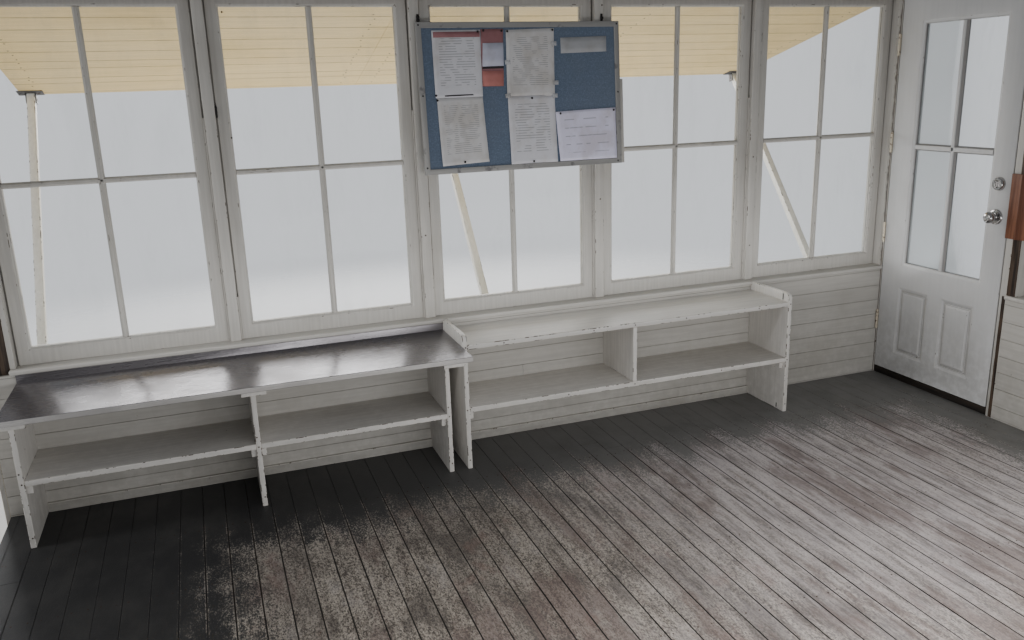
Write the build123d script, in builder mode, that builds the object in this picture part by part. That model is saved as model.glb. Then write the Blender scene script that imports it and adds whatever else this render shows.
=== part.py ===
from build123d import *
import os
from math import atan2, cos, degrees, radians, sin

# Corner section of a fire lookout cab: one glazed wall with its raised storm shutters,
# the door wall that meets it, the built-in counter and bench, and the floor they stand on.
# X runs along the window wall, Y points out through it, Z is up.
# The origin is under the window wall's floor beam, below the middle window,
# on the plane of the sashes' room faces.

os.makedirs("parts", exist_ok=True)

# Driving dimensions, in millimetres

# Windows
bay = 853.4  # from one window's centre to the next
window_count = 5
side_bay_count = 2
sill_above_floor = 610.0
head_above_floor = 2010.0
glass_t = 3.0
stile_w = 50.0
bottom_rail_h = 68.0
top_rail_h = 50.0
sash_t = 35.0
mullion_w = 44.0
mullion_proud = 22.0  # how far a mullion stands into the room from the sashes
end_mullion_w = 20.5
sash_gap = 6.9  # beside each sash
head_gap = 4.7  # over each sash
glass_bite = 8.0  # how far the glass enters the sash
sash_bevel = 8.0  # round the glass, on the room side

# Walls
board_t = 19.0
wall_in = 60.0  # room face of the wall, measured from the sashes' room face
wall_out = 70.0  # outer face of the wall
header_h = 124.0
plate_h = 38.0
stud_w = 38.0
sill_t = 19.0
sill_nose_in = 12.0
sill_nose_out = 25.0
sill_nose_r = 7.0
siding_above_ground = 10.0

# Floor
joist_h = 140.0
joist_w = 38.0
joist_count = 6
deck_t = 20.0

# Door
door_hinge_edge = 72.0  # hinge edge of the leaf, measured from the sashes' room face
door_lock_edge = 812.0
door_t = 40.0
door_bottom = 42.0  # above the floor
door_gap = 5.0
door_lock_gap = 7.0
door_head_t = 15.0
door_hinge_stile = 149.0
door_lock_stile = 122.0
door_top_rail = 134.0
door_light_bottom = 650.0  # above the floor
door_bead_w = 16.0  # bevel round the light and round each panel
door_bead_t = 8.0
door_panel_w = 165.0
door_panel_spread = 143.0  # from the middle of the leaf to the middle of a panel
door_panel_bottom = 163.0  # above the floor
door_panel_top = 498.0
door_field_margin = 6.0  # flat ground between a panel's bevel and its raised field
door_field_slope = 14.0
door_field_t = 5.0
lock_jamb_t = 34.0
stop_proud = 12.0
threshold_set_back = 5.0

# Moulded block screwed over the lock jamb
block_w = 94.0
block_flat_w = 48.0
block_bead_w = 12.0
block_bead_proud = 3.0
block_t = 12.0
block_edge_t = 6.0
block_low = 876.0  # above the floor
block_high = 1170.0

# Hinges
pin_proud = 8.0  # pin axis in front of the leaf's room face
pin_r = 2.5
pin_clearance = 0.1
knuckle_r = 6.5
knuckle_gap = 0.5
hinge_h = 102.0
hinge_plate_t = 2.0
hinge_plate_w = 30.0
knuckle_count = 5
pin_head_r = 5.0
pin_head_t = 3.0
hinge_heights = (308.0, 795.0, 1272.0)  # centres above the floor
top_hinge_drop = 228.0  # centre of the top hinge below the leaf's top

# Lock
lock_backset = 63.0
knob_height = 964.0
bolt_height = 1117.0
rose_r = 33.0
rose_t = 9.0
rose_bevel = 5.0
knob_r = 27.0
knob_reach = 60.0
knob_neck_r = 11.0
knob_neck_l = 14.0
knob_bevel = 11.0  # length along the axis of the slopes behind and before its rim
knob_face_r = 15.0
bolt_r = 27.0
bolt_t = 18.0
bolt_taper = 15.0  # degrees
turn_w = 8.0
turn_h = 34.0
turn_r = 3.0
turn_reach = 18.0

# Counter at the left
bench_front = 375.0  # front of the uprights, measured from the sashes' room face
counter_front = 520.0
counter_below_sill = 31.0
counter_t = 22.0
counter_edge_r = 4.0
counter_lip_t = 6.0
counter_cap_w = 92.0  # of the flat piece between an upright and the top
counter_cap_t = 20.0
counter_cap_set_back = 20.0
counter_wall_gap = 18.0  # from the far wall's line to the middle of the first upright
counter_mid_past = 29.1  # middle of the second upright, right of its mullion's line
counter_right_short = 32.3  # middle of the third upright, left of its mullion's line
counter_shelf_top = 272.0

# Bench at the right
bench_left_past = 41.7  # outer face of its left end, right of the second mullion's line
bench_right_past = 8.9  # outer face of its right end, right of the fourth mullion's line
bench_divider_past = 7.3
bench_below_sill = 24.0
bench_end_below_sill = 1.0
bench_shelf_top = 284.0
bench_t = 22.0
panel_t = 20.0
end_corner_r = 24.0
cleat_w = 20.0
cleat_h = 38.0
base_t = 15.0
base_h = 40.0

# Notice board
notice_left_short = 1.3  # left of the second mullion's line
notice_w = 945.0
notice_h = 632.0
notice_below_head = 121.0
notice_t = 18.0
notice_lean = 3.4
notice_frame_w = 24.0
notice_panel_t = 9.0
notice_panel_back = 4.0
strip_w = 44.0
strip_t = 18.0
strip_h = 380.0
strip_past = 22.0

# Storm shutters, propped open
shutter_t = 22.0
shutter_len = 1432.0
shutter_left_past = 28.0  # past the corner post
shutter_right_past = 61.0
shutter_joint_short = 3.3  # left of the second mullion's line
shutter_joint_gap = 6.0
shutter_drop = 14.6  # degrees below level
shutter_root_gap = 5.0  # between the wall and a shutter
shutter_above_head = 5.0  # underside of a shutter's root above the window head
batten_w = 89.0
batten_t = 19.0
batten_set_in = 90.0
batten_root = 60.0
prop_w = 38.0
prop_set_in = 25.0
prop_foot_drop = 70.0  # foot of a prop below the floor
prop_left_in = 50.0  # first prop, in from the left shutter's end
prop_right_in = 68.0
prop_mid_x = 20.0
prop_plate_w = 120.0
prop_plate_l = 80.0
prop_plate_t = 4.0
prop_cleat_w = 90.0
strap_w = 50.0
strap_t = 4.0
strap_leaf = 60.0
strap_run = 150.0
strap_barrel_r = 7.0
strap_rise = 5.0

# Sizes worked out from those above

floor_z = joist_h + deck_t
sill_top = floor_z + sill_above_floor
sill_bottom = sill_top - sill_t
head_z = floor_z + head_above_floor
wall_top = head_z + header_h
sash_w = bay - mullion_w - 2 * sash_gap
sash_h = head_z - head_gap - sill_top
glass_w = sash_w - 2 * stile_w
glass_h = sash_h - bottom_rail_h - top_rail_h
sash_centre_z = sill_top + sash_h / 2
glass_centre_z = sill_top + bottom_rail_h + glass_h / 2
end_mullion_x = (window_count - 1) / 2 * bay + sash_w / 2 + sash_gap
frame_half = end_mullion_x + end_mullion_w
room_half = frame_half - board_t  # from the middle window to the door wall's room face
frame_in = wall_in - board_t  # room side of the studs
frame_out = wall_out - board_t
frame_end = frame_half + frame_in + frame_out
outer_half = frame_end + board_t
side_sash_x = room_half + wall_in  # room faces of the door wall's sashes

jamb_hinge_y = -(door_hinge_edge - door_gap)
jamb_lock_y = -(door_lock_edge + door_lock_gap)
lock_post_y = jamb_lock_y - lock_jamb_t
side_first_y = lock_post_y - mullion_w
side_end_y = side_first_y - side_bay_count * bay
leaf_bottom_z = floor_z + door_bottom
head_jamb_z = head_z - door_head_t
leaf_top_z = head_jamb_z - door_gap
pin_x = room_half - pin_proud
pin_y = -(door_hinge_edge - door_gap / 2)


def mullion_line(count):
    """X of the line between window number `count`, from the left, and the next one."""
    return (count - window_count / 2) * bay


def board(x, y, z):
    """Adds a square-cut board that reaches between two values along each axis."""
    with Locations(((x[0] + x[1]) / 2, (y[0] + y[1]) / 2, (z[0] + z[1]) / 2)):
        Box(x[1] - x[0], y[1] - y[0], z[1] - z[0])


def add_sash(room_face, across):
    """Adds a sash with its room side on a plane: a bevelled opening, and a groove for the glass."""
    with BuildSketch(room_face) as outline:
        with Locations((across, sash_centre_z)):
            Rectangle(sash_w, sash_h)
    extrude(outline.sketch, amount=sash_t)
    cut_opening(room_face, across, glass_centre_z, (glass_w, glass_h), sash_t, (sash_bevel, sash_bevel))
    add_pane(room_face, across, Mode.SUBTRACT)


def cut_opening(face, across, up, size, depth, bevel):
    """Cuts a rectangular opening inwards from a plane, with a sloping bevel round its edge."""
    with BuildSketch(face) as opening:
        with Locations((across, up)):
            Rectangle(*size)
    extrude(opening.sketch, amount=depth, mode=Mode.SUBTRACT)
    bevel_w, bevel_t = bevel
    with BuildSketch(face) as rim:
        with Locations((across, up)):
            Rectangle(size[0] + 2 * bevel_w, size[1] + 2 * bevel_w)
    extrude(rim.sketch, amount=bevel_t, taper=degrees(atan2(bevel_w, bevel_t)), mode=Mode.SUBTRACT)


def add_pane(room_face, across, mode=Mode.ADD):
    """Adds a sash's pane of glass, or cuts the groove that holds its edges."""
    with BuildSketch(room_face.offset((sash_t - glass_t) / 2)) as pane:
        with Locations((across, glass_centre_z)):
            Rectangle(glass_w + 2 * glass_bite, glass_h + 2 * glass_bite)
    extrude(pane.sketch, amount=glass_t, mode=mode)


def save(piece, name):
    """Labels a finished piece and writes it."""
    piece.part.label = name
    export_step(piece.part, f"parts/{name}.step")


# Floor: joists along the window wall, with a broad one under it, rims, and the deck

with BuildPart() as floor_joists:
    board((-frame_end + joist_w, frame_half), (-frame_in, frame_out), (0, joist_h))
    joist_step = (-frame_in - side_end_y - joist_w) / joist_count
    for step in range(joist_count):
        front_y = side_end_y + step * joist_step
        board((-frame_end + joist_w, frame_half), (front_y, front_y + joist_w), (0, joist_h))
save(floor_joists, "floor_joists")

with BuildPart() as floor_rims:
    board((-frame_end, -frame_end + joist_w), (side_end_y, frame_out), (0, joist_h))
    board((frame_half, frame_end), (side_end_y, frame_out), (0, joist_h))
save(floor_rims, "floor_rims")

with BuildPart() as floor_deck:
    board((-frame_end, frame_end), (side_end_y, frame_out), (joist_h, floor_z))
save(floor_deck, "floor_deck")

# Knee walls: plates and studs between inner and outer boards

with BuildPart() as knee_frame:
    board((-frame_half, frame_half), (-frame_in, frame_out), (floor_z, floor_z + plate_h))
    board((-frame_half, frame_half), (-frame_in, frame_out), (sill_bottom - plate_h, sill_bottom))
    with GridLocations(bay / 2, 1, 2 * window_count - 1, 1):
        with Locations((0, (frame_out - frame_in) / 2, (floor_z + sill_bottom) / 2)):
            Box(stud_w, frame_in + frame_out, sill_bottom - floor_z)
    board((frame_half, frame_end), (side_end_y, side_first_y), (floor_z, floor_z + plate_h))
    board((frame_half, frame_end), (side_end_y, side_first_y), (sill_bottom - plate_h, sill_bottom))
    for step in range(2 * side_bay_count):
        stud_y = side_end_y + step * bay / 2
        board((frame_half, frame_end), (stud_y, stud_y + stud_w), (floor_z, sill_bottom))
save(knee_frame, "knee_frame")

with BuildPart() as wainscot:
    board((-frame_end, room_half), (-wall_in, -frame_in), (floor_z, sill_bottom))
    board((room_half, frame_half), (side_end_y, lock_post_y), (floor_z, sill_bottom))
save(wainscot, "wainscot")

with BuildPart() as siding:
    board((-frame_end, frame_end), (frame_out, wall_out), (siding_above_ground, sill_bottom))
    board((frame_end, outer_half), (side_end_y, lock_post_y), (siding_above_ground, sill_bottom))
save(siding, "siding")

# Window sills, with a rounded nosing into the room and a square one outside

with BuildPart() as window_sills:
    board((-frame_half, room_half), (-wall_in - sill_nose_in, -frame_in), (sill_bottom, sill_top))
    fillet(edges().filter_by(Axis.X).group_by(Axis.Y)[0], radius=sill_nose_r)
    board((-frame_half, frame_half), (-frame_in, wall_out + sill_nose_out), (sill_bottom, sill_top))
    board((room_half - sill_nose_in, frame_half), (side_end_y, lock_post_y), (sill_bottom, sill_top))
    side_nose = edges(Select.LAST).filter_by(Axis.Y).group_by(Axis.X)[0]
    fillet(side_nose, radius=sill_nose_r)
    board((frame_half, outer_half + sill_nose_out), (side_end_y, side_first_y), (sill_bottom, sill_top))
save(window_sills, "window_sills")

# Corner posts, the post beside the door with its strip above the sill, and the mullions

with BuildPart() as wall_posts:
    for side in (-1, 1):
        post_x = sorted((side * frame_half, side * frame_end))
        board(post_x, (-frame_in, frame_out), (floor_z, head_z))
    board((frame_half, frame_end), (side_first_y, lock_post_y), (floor_z, head_z))
    board((room_half, frame_half), (side_first_y, lock_post_y), (sill_top, head_z))
save(wall_posts, "wall_posts")

with BuildPart() as mullions:
    for count in range(1, window_count):
        left_x = mullion_line(count) - mullion_w / 2
        board((left_x, left_x + mullion_w), (-mullion_proud, wall_out), (sill_top, head_z))
    for side in (-1, 1):
        end_x = sorted((side * end_mullion_x, side * frame_half))
        board(end_x, (-frame_in, wall_out), (sill_top, head_z))
    for count in range(1, side_bay_count + 1):
        low_y = side_first_y - count * bay
        board((side_sash_x - mullion_proud, outer_half), (low_y, low_y + mullion_w), (sill_top, head_z))
save(mullions, "mullions")

# Sashes and their glass, in the window wall and in the door wall

window_face = Plane(origin=(0, 0, 0), x_dir=(-1, 0, 0), z_dir=(0, 1, 0))
side_face = Plane(origin=(side_sash_x, 0, 0), x_dir=(0, 1, 0), z_dir=(1, 0, 0))
sash_places = [(window_face, (step - (window_count - 1) / 2) * bay) for step in range(window_count)]
side_first_sash_y = side_first_y - (bay - mullion_w) / 2
sash_places += [(side_face, side_first_sash_y - step * bay) for step in range(side_bay_count)]

with BuildPart() as window_sashes:
    for room_face, across in sash_places:
        add_sash(room_face, across)
save(window_sashes, "window_sashes")

with BuildPart() as window_glass:
    for room_face, across in sash_places:
        add_pane(room_face, across)
save(window_glass, "window_glass")

# Headers over the openings, and the boards that face them inside and out

with BuildPart() as header_window:
    board((-frame_end, frame_end), (-frame_in, frame_out), (head_z, wall_top))
save(header_window, "header_window")

with BuildPart() as header_side:
    board((frame_half, frame_end), (side_end_y, -frame_in), (head_z, wall_top))
save(header_side, "header_side")

with BuildPart() as frieze_window:
    board((-frame_end, room_half), (-wall_in, -frame_in), (head_z, wall_top))
    board((-frame_end, frame_end), (frame_out, wall_out), (head_z, wall_top))
save(frieze_window, "frieze_window")

with BuildPart() as frieze_side:
    board((room_half, frame_half), (side_end_y, -frame_in), (head_z, wall_top))
    board((frame_end, outer_half), (side_end_y, -frame_in), (head_z, wall_top))
save(frieze_side, "frieze_side")

# Boards that wrap the outer corners

with BuildPart() as corner_boards:
    board((frame_end, outer_half), (-frame_in, wall_out), (siding_above_ground, wall_top))
    board((frame_half, frame_end), (frame_out, wall_out), (sill_top, head_z))
    board((-outer_half, -frame_end), (-wall_in, wall_out), (siding_above_ground, wall_top))
    board((-frame_end, -frame_half), (frame_out, wall_out), (sill_top, head_z))
save(corner_boards, "corner_boards")

# Door frame: jambs with their stops, head and threshold

stop_x = room_half + door_t + door_gap
with BuildPart() as door_jambs:
    board((room_half, outer_half), (jamb_hinge_y, -frame_in), (floor_z, head_z))
    board((stop_x, outer_half), (jamb_hinge_y - stop_proud, jamb_hinge_y), (floor_z, head_z))
    board((room_half, outer_half), (lock_post_y, jamb_lock_y), (floor_z, head_z))
    board((stop_x, outer_half), (jamb_lock_y, jamb_lock_y + stop_proud), (floor_z, head_z))
save(door_jambs, "door_jambs")

stop_y = (jamb_lock_y + stop_proud, jamb_hinge_y - stop_proud)
with BuildPart() as door_head:
    board((room_half, stop_x), (jamb_lock_y, jamb_hinge_y), (head_jamb_z, head_z))
    board((stop_x, outer_half), stop_y, (head_jamb_z - stop_proud, head_z))
save(door_head, "door_head")

threshold_top = leaf_bottom_z - door_gap
with BuildPart() as threshold:
    board((room_half + threshold_set_back, stop_x), (jamb_lock_y, jamb_hinge_y), (floor_z, threshold_top))
    board((stop_x, outer_half), stop_y, (floor_z, threshold_top))
save(threshold, "threshold")

# Moulded block over the lock jamb: a flat face, a bead and a thin sloping edge

with BuildPart() as latch_block:
    with BuildSketch(Plane.XY.offset(floor_z + block_low)):
        with BuildLine():
            bead_y = jamb_lock_y - block_flat_w
            slope_y = bead_y - block_bead_w
            Polyline(
                (room_half, slope_y),
                (room_half, jamb_lock_y),
                (room_half - block_t, jamb_lock_y),
                (room_half - block_t, bead_y),
            )
            ThreePointArc(
                (room_half - block_t, bead_y),
                (room_half - block_t - block_bead_proud, (bead_y + slope_y) / 2),
                (room_half - block_t, slope_y),
            )
            Polyline(
                (room_half - block_t, slope_y),
                (room_half - block_edge_t, jamb_lock_y - block_w),
                (room_half, jamb_lock_y - block_w),
                (room_half, slope_y),
            )
        make_face()
    extrude(amount=block_high - block_low)
save(latch_block, "latch_block")

# Door leaf: a bevelled opening for the light, and two raised panels below it, on both faces

leaf_y = -(door_hinge_edge + door_lock_edge) / 2
leaf_w = door_lock_edge - door_hinge_edge
light_w = leaf_w - door_hinge_stile - door_lock_stile
light_y = -(door_hinge_edge + door_hinge_stile + light_w / 2)
light_bottom_z = floor_z + door_light_bottom
light_h = leaf_top_z - door_top_rail - light_bottom_z
light_z = light_bottom_z + light_h / 2
panel_z = floor_z + (door_panel_bottom + door_panel_top) / 2
panel_h = door_panel_top - door_panel_bottom
outer_leaf_x = room_half + door_t
light_across = light_w + 2 * glass_bite
light_up = light_h + 2 * glass_bite
door_bead = (door_bead_w, door_bead_t)
field_taper = degrees(atan2(door_field_slope, door_field_t))
field_w = door_panel_w - 2 * door_field_margin
field_h = panel_h - 2 * door_field_margin

with BuildPart() as door_leaf:
    with Locations((room_half + door_t / 2, leaf_y, (leaf_bottom_z + leaf_top_z) / 2)):
        Box(door_t, leaf_w, leaf_top_z - leaf_bottom_z)
    for face_x, inward in ((room_half, 1), (outer_leaf_x, -1)):
        face = Plane(origin=(face_x, 0, 0), x_dir=(0, inward, 0), z_dir=(inward, 0, 0))
        cut_opening(face, inward * light_y, light_z, (light_w, light_h), door_t / 2, door_bead)
        for side in (-1, 1):
            panel_y = leaf_y + side * door_panel_spread
            cut_opening(face, inward * panel_y, panel_z, (door_panel_w, panel_h), door_bead_t, door_bead)
            field_origin = (face_x + inward * door_bead_t, panel_y, panel_z)
            with BuildSketch(Plane(origin=field_origin, x_dir=(0, 1, 0), z_dir=(-inward, 0, 0))):
                Rectangle(field_w, field_h)
            extrude(amount=door_field_t, taper=field_taper)
    with Locations((room_half + door_t / 2, light_y, light_z)):
        Box(glass_t, light_across, light_up, mode=Mode.SUBTRACT)
save(door_leaf, "door_leaf")

with BuildPart() as door_glass:
    with Locations((room_half + door_t / 2, light_y, light_z)):
        Box(glass_t, light_across, light_up)
save(door_glass, "door_glass")

# Lockset: a knob turned on a rose on each face, and a deadbolt with a thumb turn above it

lock_y = -(door_lock_edge - lock_backset)
knob_z = floor_z + knob_height
bolt_z = floor_z + bolt_height
knob_back = rose_t + knob_neck_l

with BuildPart() as door_lockset:
    for face_x, out in ((room_half, -1), (outer_leaf_x, 1)):
        with BuildSketch(Plane(origin=(face_x, lock_y, knob_z), x_dir=(out, 0, 0), z_dir=(0, 0, 1))):
            with BuildLine():
                Polyline(
                    (0, 0),
                    (0, rose_r),
                    (rose_t - rose_bevel, rose_r),
                    (rose_t, rose_r - rose_bevel),
                    (rose_t, knob_neck_r),
                    (knob_back, knob_neck_r),
                    (knob_back + knob_bevel, knob_r),
                    (knob_reach - knob_bevel, knob_r),
                    (knob_reach, knob_face_r),
                    (knob_reach, 0),
                    close=True,
                )
            make_face()
        revolve(axis=Axis((face_x, lock_y, knob_z), (1, 0, 0)))
        with BuildSketch(Plane(origin=(face_x, lock_y, bolt_z), x_dir=(0, 1, 0), z_dir=(out, 0, 0))):
            Circle(bolt_r)
        extrude(amount=bolt_t, taper=bolt_taper)
    turn_plane = Plane(origin=(room_half - bolt_t, lock_y, bolt_z), x_dir=(0, 1, 0), z_dir=(-1, 0, 0))
    with BuildSketch(turn_plane):
        RectangleRounded(turn_w, turn_h, turn_r)
    extrude(amount=turn_reach)
save(door_lockset, "door_lockset")

# Butt hinges: every second knuckle and the pin stay with the jamb, the others turn with the leaf

knuckle_h = hinge_h / knuckle_count
hinge_lows = [floor_z + height - hinge_h / 2 for height in hinge_heights]
hinge_lows.append(leaf_top_z - top_hinge_drop - hinge_h / 2)
leaf_plate_y = (-door_hinge_edge, -door_hinge_edge + hinge_plate_t)
jamb_plate_y = (jamb_hinge_y - hinge_plate_t, jamb_hinge_y)
tab_x = (pin_x, pin_x + knuckle_r + knuckle_gap)
plate_x = (tab_x[1], room_half + hinge_plate_w)


def add_hinge_leaf(low, plate_y, first):
    """Adds a hinge's plate with every second knuckle from `first` on, each on its tab."""
    board(plate_x, plate_y, (low, low + hinge_h))
    for count in range(first, knuckle_count, 2):
        bottom = low + count * knuckle_h + knuckle_gap / 2
        top = low + (count + 1) * knuckle_h - knuckle_gap / 2
        board(tab_x, plate_y, (bottom, top))
        with Locations((pin_x, pin_y, (bottom + top) / 2)):
            Cylinder(knuckle_r, top - bottom)


with BuildPart() as hinges_jamb:
    for low in hinge_lows:
        add_hinge_leaf(low, jamb_plate_y, 0)
        with Locations((pin_x, pin_y, low + hinge_h / 2)):
            Cylinder(pin_r, hinge_h)
        with Locations((pin_x, pin_y, low + hinge_h + pin_head_t / 2)):
            Cylinder(pin_head_r, pin_head_t + knuckle_gap)
save(hinges_jamb, "hinges_jamb")

with BuildPart() as hinges_leaf:
    for low in hinge_lows:
        add_hinge_leaf(low, leaf_plate_y, 1)
        with Locations((pin_x, pin_y, low + hinge_h / 2)):
            Cylinder(pin_r + pin_clearance, hinge_h, mode=Mode.SUBTRACT)
save(hinges_leaf, "hinges_leaf")

# Counter: a steel top with an upstand at the wall, carried by flat caps on three uprights

counter_z = sill_bottom - counter_below_sill
counter_under = counter_z - counter_t
cap_under = counter_under - counter_cap_t
bench_left = mullion_line(2) + bench_left_past
counter_panel_x = (
    -room_half + counter_wall_gap,
    mullion_line(1) + counter_mid_past,
    mullion_line(2) - counter_right_short,
)
with BuildPart() as counter_top:
    board((-room_half, bench_left), (-counter_front, -wall_in), (counter_under, counter_z))
    fillet(edges().filter_by(Axis.X).group_by(Axis.Y)[0], radius=counter_edge_r)
    board((-room_half, bench_left), (-wall_in - counter_lip_t, -wall_in), (counter_z, sill_bottom))
save(counter_top, "counter_top")

with BuildPart() as counter_caps:
    for panel_x in counter_panel_x:
        cap_left = max(panel_x - counter_cap_w / 2, -room_half)
        board(
            (cap_left, cap_left + counter_cap_w),
            (-counter_front + counter_cap_set_back, -wall_in),
            (cap_under, counter_under),
        )
save(counter_caps, "counter_caps")

with BuildPart() as counter_panels:
    for panel_x in counter_panel_x:
        board((panel_x - panel_t / 2, panel_x + panel_t / 2), (-bench_front, -wall_in), (floor_z, cap_under))
save(counter_panels, "counter_panels")

counter_shelf_z = floor_z + counter_shelf_top
with BuildPart() as counter_shelves:
    for left_x, right_x in zip(counter_panel_x, counter_panel_x[1:]):
        board(
            (left_x + panel_t / 2, right_x - panel_t / 2),
            (-bench_front, -wall_in),
            (counter_shelf_z - bench_t, counter_shelf_z),
        )
save(counter_shelves, "counter_shelves")

# Bench: a top between two raised ends with rounded front corners, a divider and a shelf

bench_right = mullion_line(4) + bench_right_past
bench_z = sill_bottom - bench_below_sill
bench_under = bench_z - bench_t
bench_end_z = sill_top - bench_end_below_sill
bench_inner = (bench_left + panel_t, bench_right - panel_t)
bench_shelf_z = floor_z + bench_shelf_top
divider_left = mullion_line(3) + bench_divider_past - panel_t / 2

with BuildPart() as bench_ends:
    for end_x in (bench_left, bench_right - panel_t):
        with BuildSketch(Plane.YZ.offset(end_x)):
            with BuildLine():
                Polyline(
                    (-wall_in, floor_z),
                    (-bench_front, floor_z),
                    (-bench_front, bench_end_z),
                    (-wall_in - sill_nose_in, bench_end_z),
                    (-wall_in - sill_nose_in, sill_bottom),
                    (-wall_in, sill_bottom),
                    close=True,
                )
            make_face()
        extrude(amount=panel_t)
    raised_corners = edges().filter_by(Axis.X).group_by(Axis.Z)[-1].group_by(Axis.Y)[0]
    fillet(raised_corners, radius=end_corner_r)
save(bench_ends, "bench_ends")

with BuildPart() as bench_top:
    board(bench_inner, (-bench_front, -wall_in), (bench_under, bench_z))
save(bench_top, "bench_top")

with BuildPart() as bench_divider:
    board((divider_left, divider_left + panel_t), (-bench_front, -wall_in), (bench_shelf_z, bench_under))
save(bench_divider, "bench_divider")

with BuildPart() as bench_shelf:
    board(bench_inner, (-bench_front, -wall_in), (bench_shelf_z - bench_t, bench_shelf_z))
save(bench_shelf, "bench_shelf")

# Cleats under the shelves, beside the uprights

with BuildPart() as shelf_cleats:
    under_counter_shelf = (counter_shelf_z - bench_t - cleat_h, counter_shelf_z - bench_t)
    under_bench_shelf = (bench_shelf_z - bench_t - cleat_h, bench_shelf_z - bench_t)
    cleat_y = (-bench_front + cleat_w, -wall_in)
    for left_x, right_x in zip(counter_panel_x, counter_panel_x[1:]):
        board((left_x + panel_t / 2, left_x + panel_t / 2 + cleat_w), cleat_y, under_counter_shelf)
        board((right_x - panel_t / 2 - cleat_w, right_x - panel_t / 2), cleat_y, under_counter_shelf)
    board((bench_inner[0], bench_inner[0] + cleat_w), cleat_y, under_bench_shelf)
    board((bench_inner[1] - cleat_w, bench_inner[1]), cleat_y, under_bench_shelf)
save(shelf_cleats, "shelf_cleats")

# Base strips on the wall at the floor, between the uprights

with BuildPart() as base_strips:
    panels_x = [(x - panel_t / 2, x + panel_t / 2) for x in counter_panel_x]
    panels_x += [(bench_left, bench_inner[0]), (bench_inner[1], bench_right)]
    for (_, left_x), (right_x, _) in zip(panels_x, panels_x[1:]):
        board((left_x, right_x), (-wall_in - base_t, -wall_in), (floor_z, floor_z + base_h))
save(base_strips, "base_strips")

# Notice board: a framed panel that leans out at its foot from the mullions it hangs on

notice_left = mullion_line(2) - notice_left_short
notice_plane = Plane(
    origin=(notice_left + notice_w / 2, -mullion_proud, head_z - notice_below_head),
    x_dir=(1, 0, 0),
    z_dir=(0, -1, 0),
).rotated((-notice_lean, 0, 0))

with BuildPart() as notice_frame:
    with BuildSketch(notice_plane):
        with Locations((0, -notice_h / 2)):
            Rectangle(notice_w, notice_h)
            Rectangle(notice_w - 2 * notice_frame_w, notice_h - 2 * notice_frame_w, mode=Mode.SUBTRACT)
    extrude(amount=notice_t)
save(notice_frame, "notice_frame")

with BuildPart() as notice_panel:
    with BuildSketch(notice_plane.offset(notice_panel_back)):
        with Locations((0, -notice_h / 2)):
            Rectangle(notice_w - 2 * notice_frame_w, notice_h - 2 * notice_frame_w)
    extrude(amount=notice_panel_t)
save(notice_panel, "notice_panel")

# A pale strip behind the board's right edge

with BuildPart() as notice_strip:
    with BuildSketch(notice_plane):
        with Locations((notice_w / 2 + strip_past - strip_w / 2, -notice_h + strip_h / 2)):
            Rectangle(strip_w, strip_h)
    extrude(amount=-strip_t)
save(notice_strip, "notice_strip")

# Storm shutters: two boarded panels on the sloping plane of their undersides

slope = radians(shutter_drop)
shutter_plane = Plane(
    origin=(0, wall_out + shutter_root_gap, head_z + shutter_above_head),
    x_dir=(1, 0, 0),
    z_dir=(0, sin(slope), cos(slope)),
)
shutter_left_end = -frame_half - shutter_left_past
shutter_right_end = frame_half + shutter_right_past
shutter_joint = mullion_line(2) - shutter_joint_short
left_inner_edge = shutter_joint - shutter_joint_gap / 2
right_inner_edge = shutter_joint + shutter_joint_gap / 2


def add_shutter(left_x, right_x):
    """Adds a shutter that reaches between two distances along the wall."""
    with BuildSketch(shutter_plane) as outline:
        with Locations(((left_x + right_x) / 2, shutter_len / 2)):
            Rectangle(right_x - left_x, shutter_len)
    extrude(outline.sketch, amount=shutter_t)


def on_slope(out, above):
    """The Y and Z of a point this far out along the shutters and this far above their underside."""
    point = shutter_plane.from_local_coords((0, out, above))
    return (point.Y, point.Z)


with BuildPart() as shutter_left:
    add_shutter(shutter_left_end, left_inner_edge)
save(shutter_left, "shutter_left")

with BuildPart() as shutter_right:
    add_shutter(right_inner_edge, shutter_right_end)
save(shutter_right, "shutter_right")

# Battens across the shutters' upper side, and the strap hinges that carry them

batten_x = (
    shutter_left_end + batten_set_in,
    shutter_joint - batten_set_in,
    shutter_joint + batten_set_in,
    (shutter_joint + shutter_right_end) / 2,
    shutter_right_end - batten_set_in,
)
strap_side = (1, -1, 1, 1, -1)  # the side of its batten on which each strap lies
with BuildPart() as shutter_battens:
    with BuildSketch(shutter_plane.offset(shutter_t)):
        with Locations([(x, (shutter_len + batten_root) / 2) for x in batten_x]):
            Rectangle(batten_w, shutter_len - batten_root)
    extrude(amount=batten_t)
save(shutter_battens, "shutter_battens")

barrel_y = wall_out + strap_barrel_r
barrel_z = on_slope(0, shutter_t + strap_t)[1] + strap_rise
with BuildPart() as shutter_straps:
    for x, side in zip(batten_x, strap_side):
        strap_x = x + side * (batten_w + strap_w) / 2
        with BuildSketch(Plane.YZ.offset(strap_x)):
            with BuildLine():
                Polyline(
                    on_slope(0, shutter_t),
                    on_slope(strap_run, shutter_t),
                    on_slope(strap_run, shutter_t + strap_t),
                    on_slope(0, shutter_t + strap_t),
                    close=True,
                )
            make_face()
            with Locations((barrel_y, barrel_z)):
                Circle(strap_barrel_r)
            with Locations((wall_out + strap_t / 2, barrel_z + strap_leaf / 2)):
                Rectangle(strap_t, strap_leaf)
        extrude(amount=strap_w / 2, both=True)
save(shutter_straps, "shutter_straps")

# Props from the foot of the wall to the shutters' outer edge, each with a plate at its head and a cleat below

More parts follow.
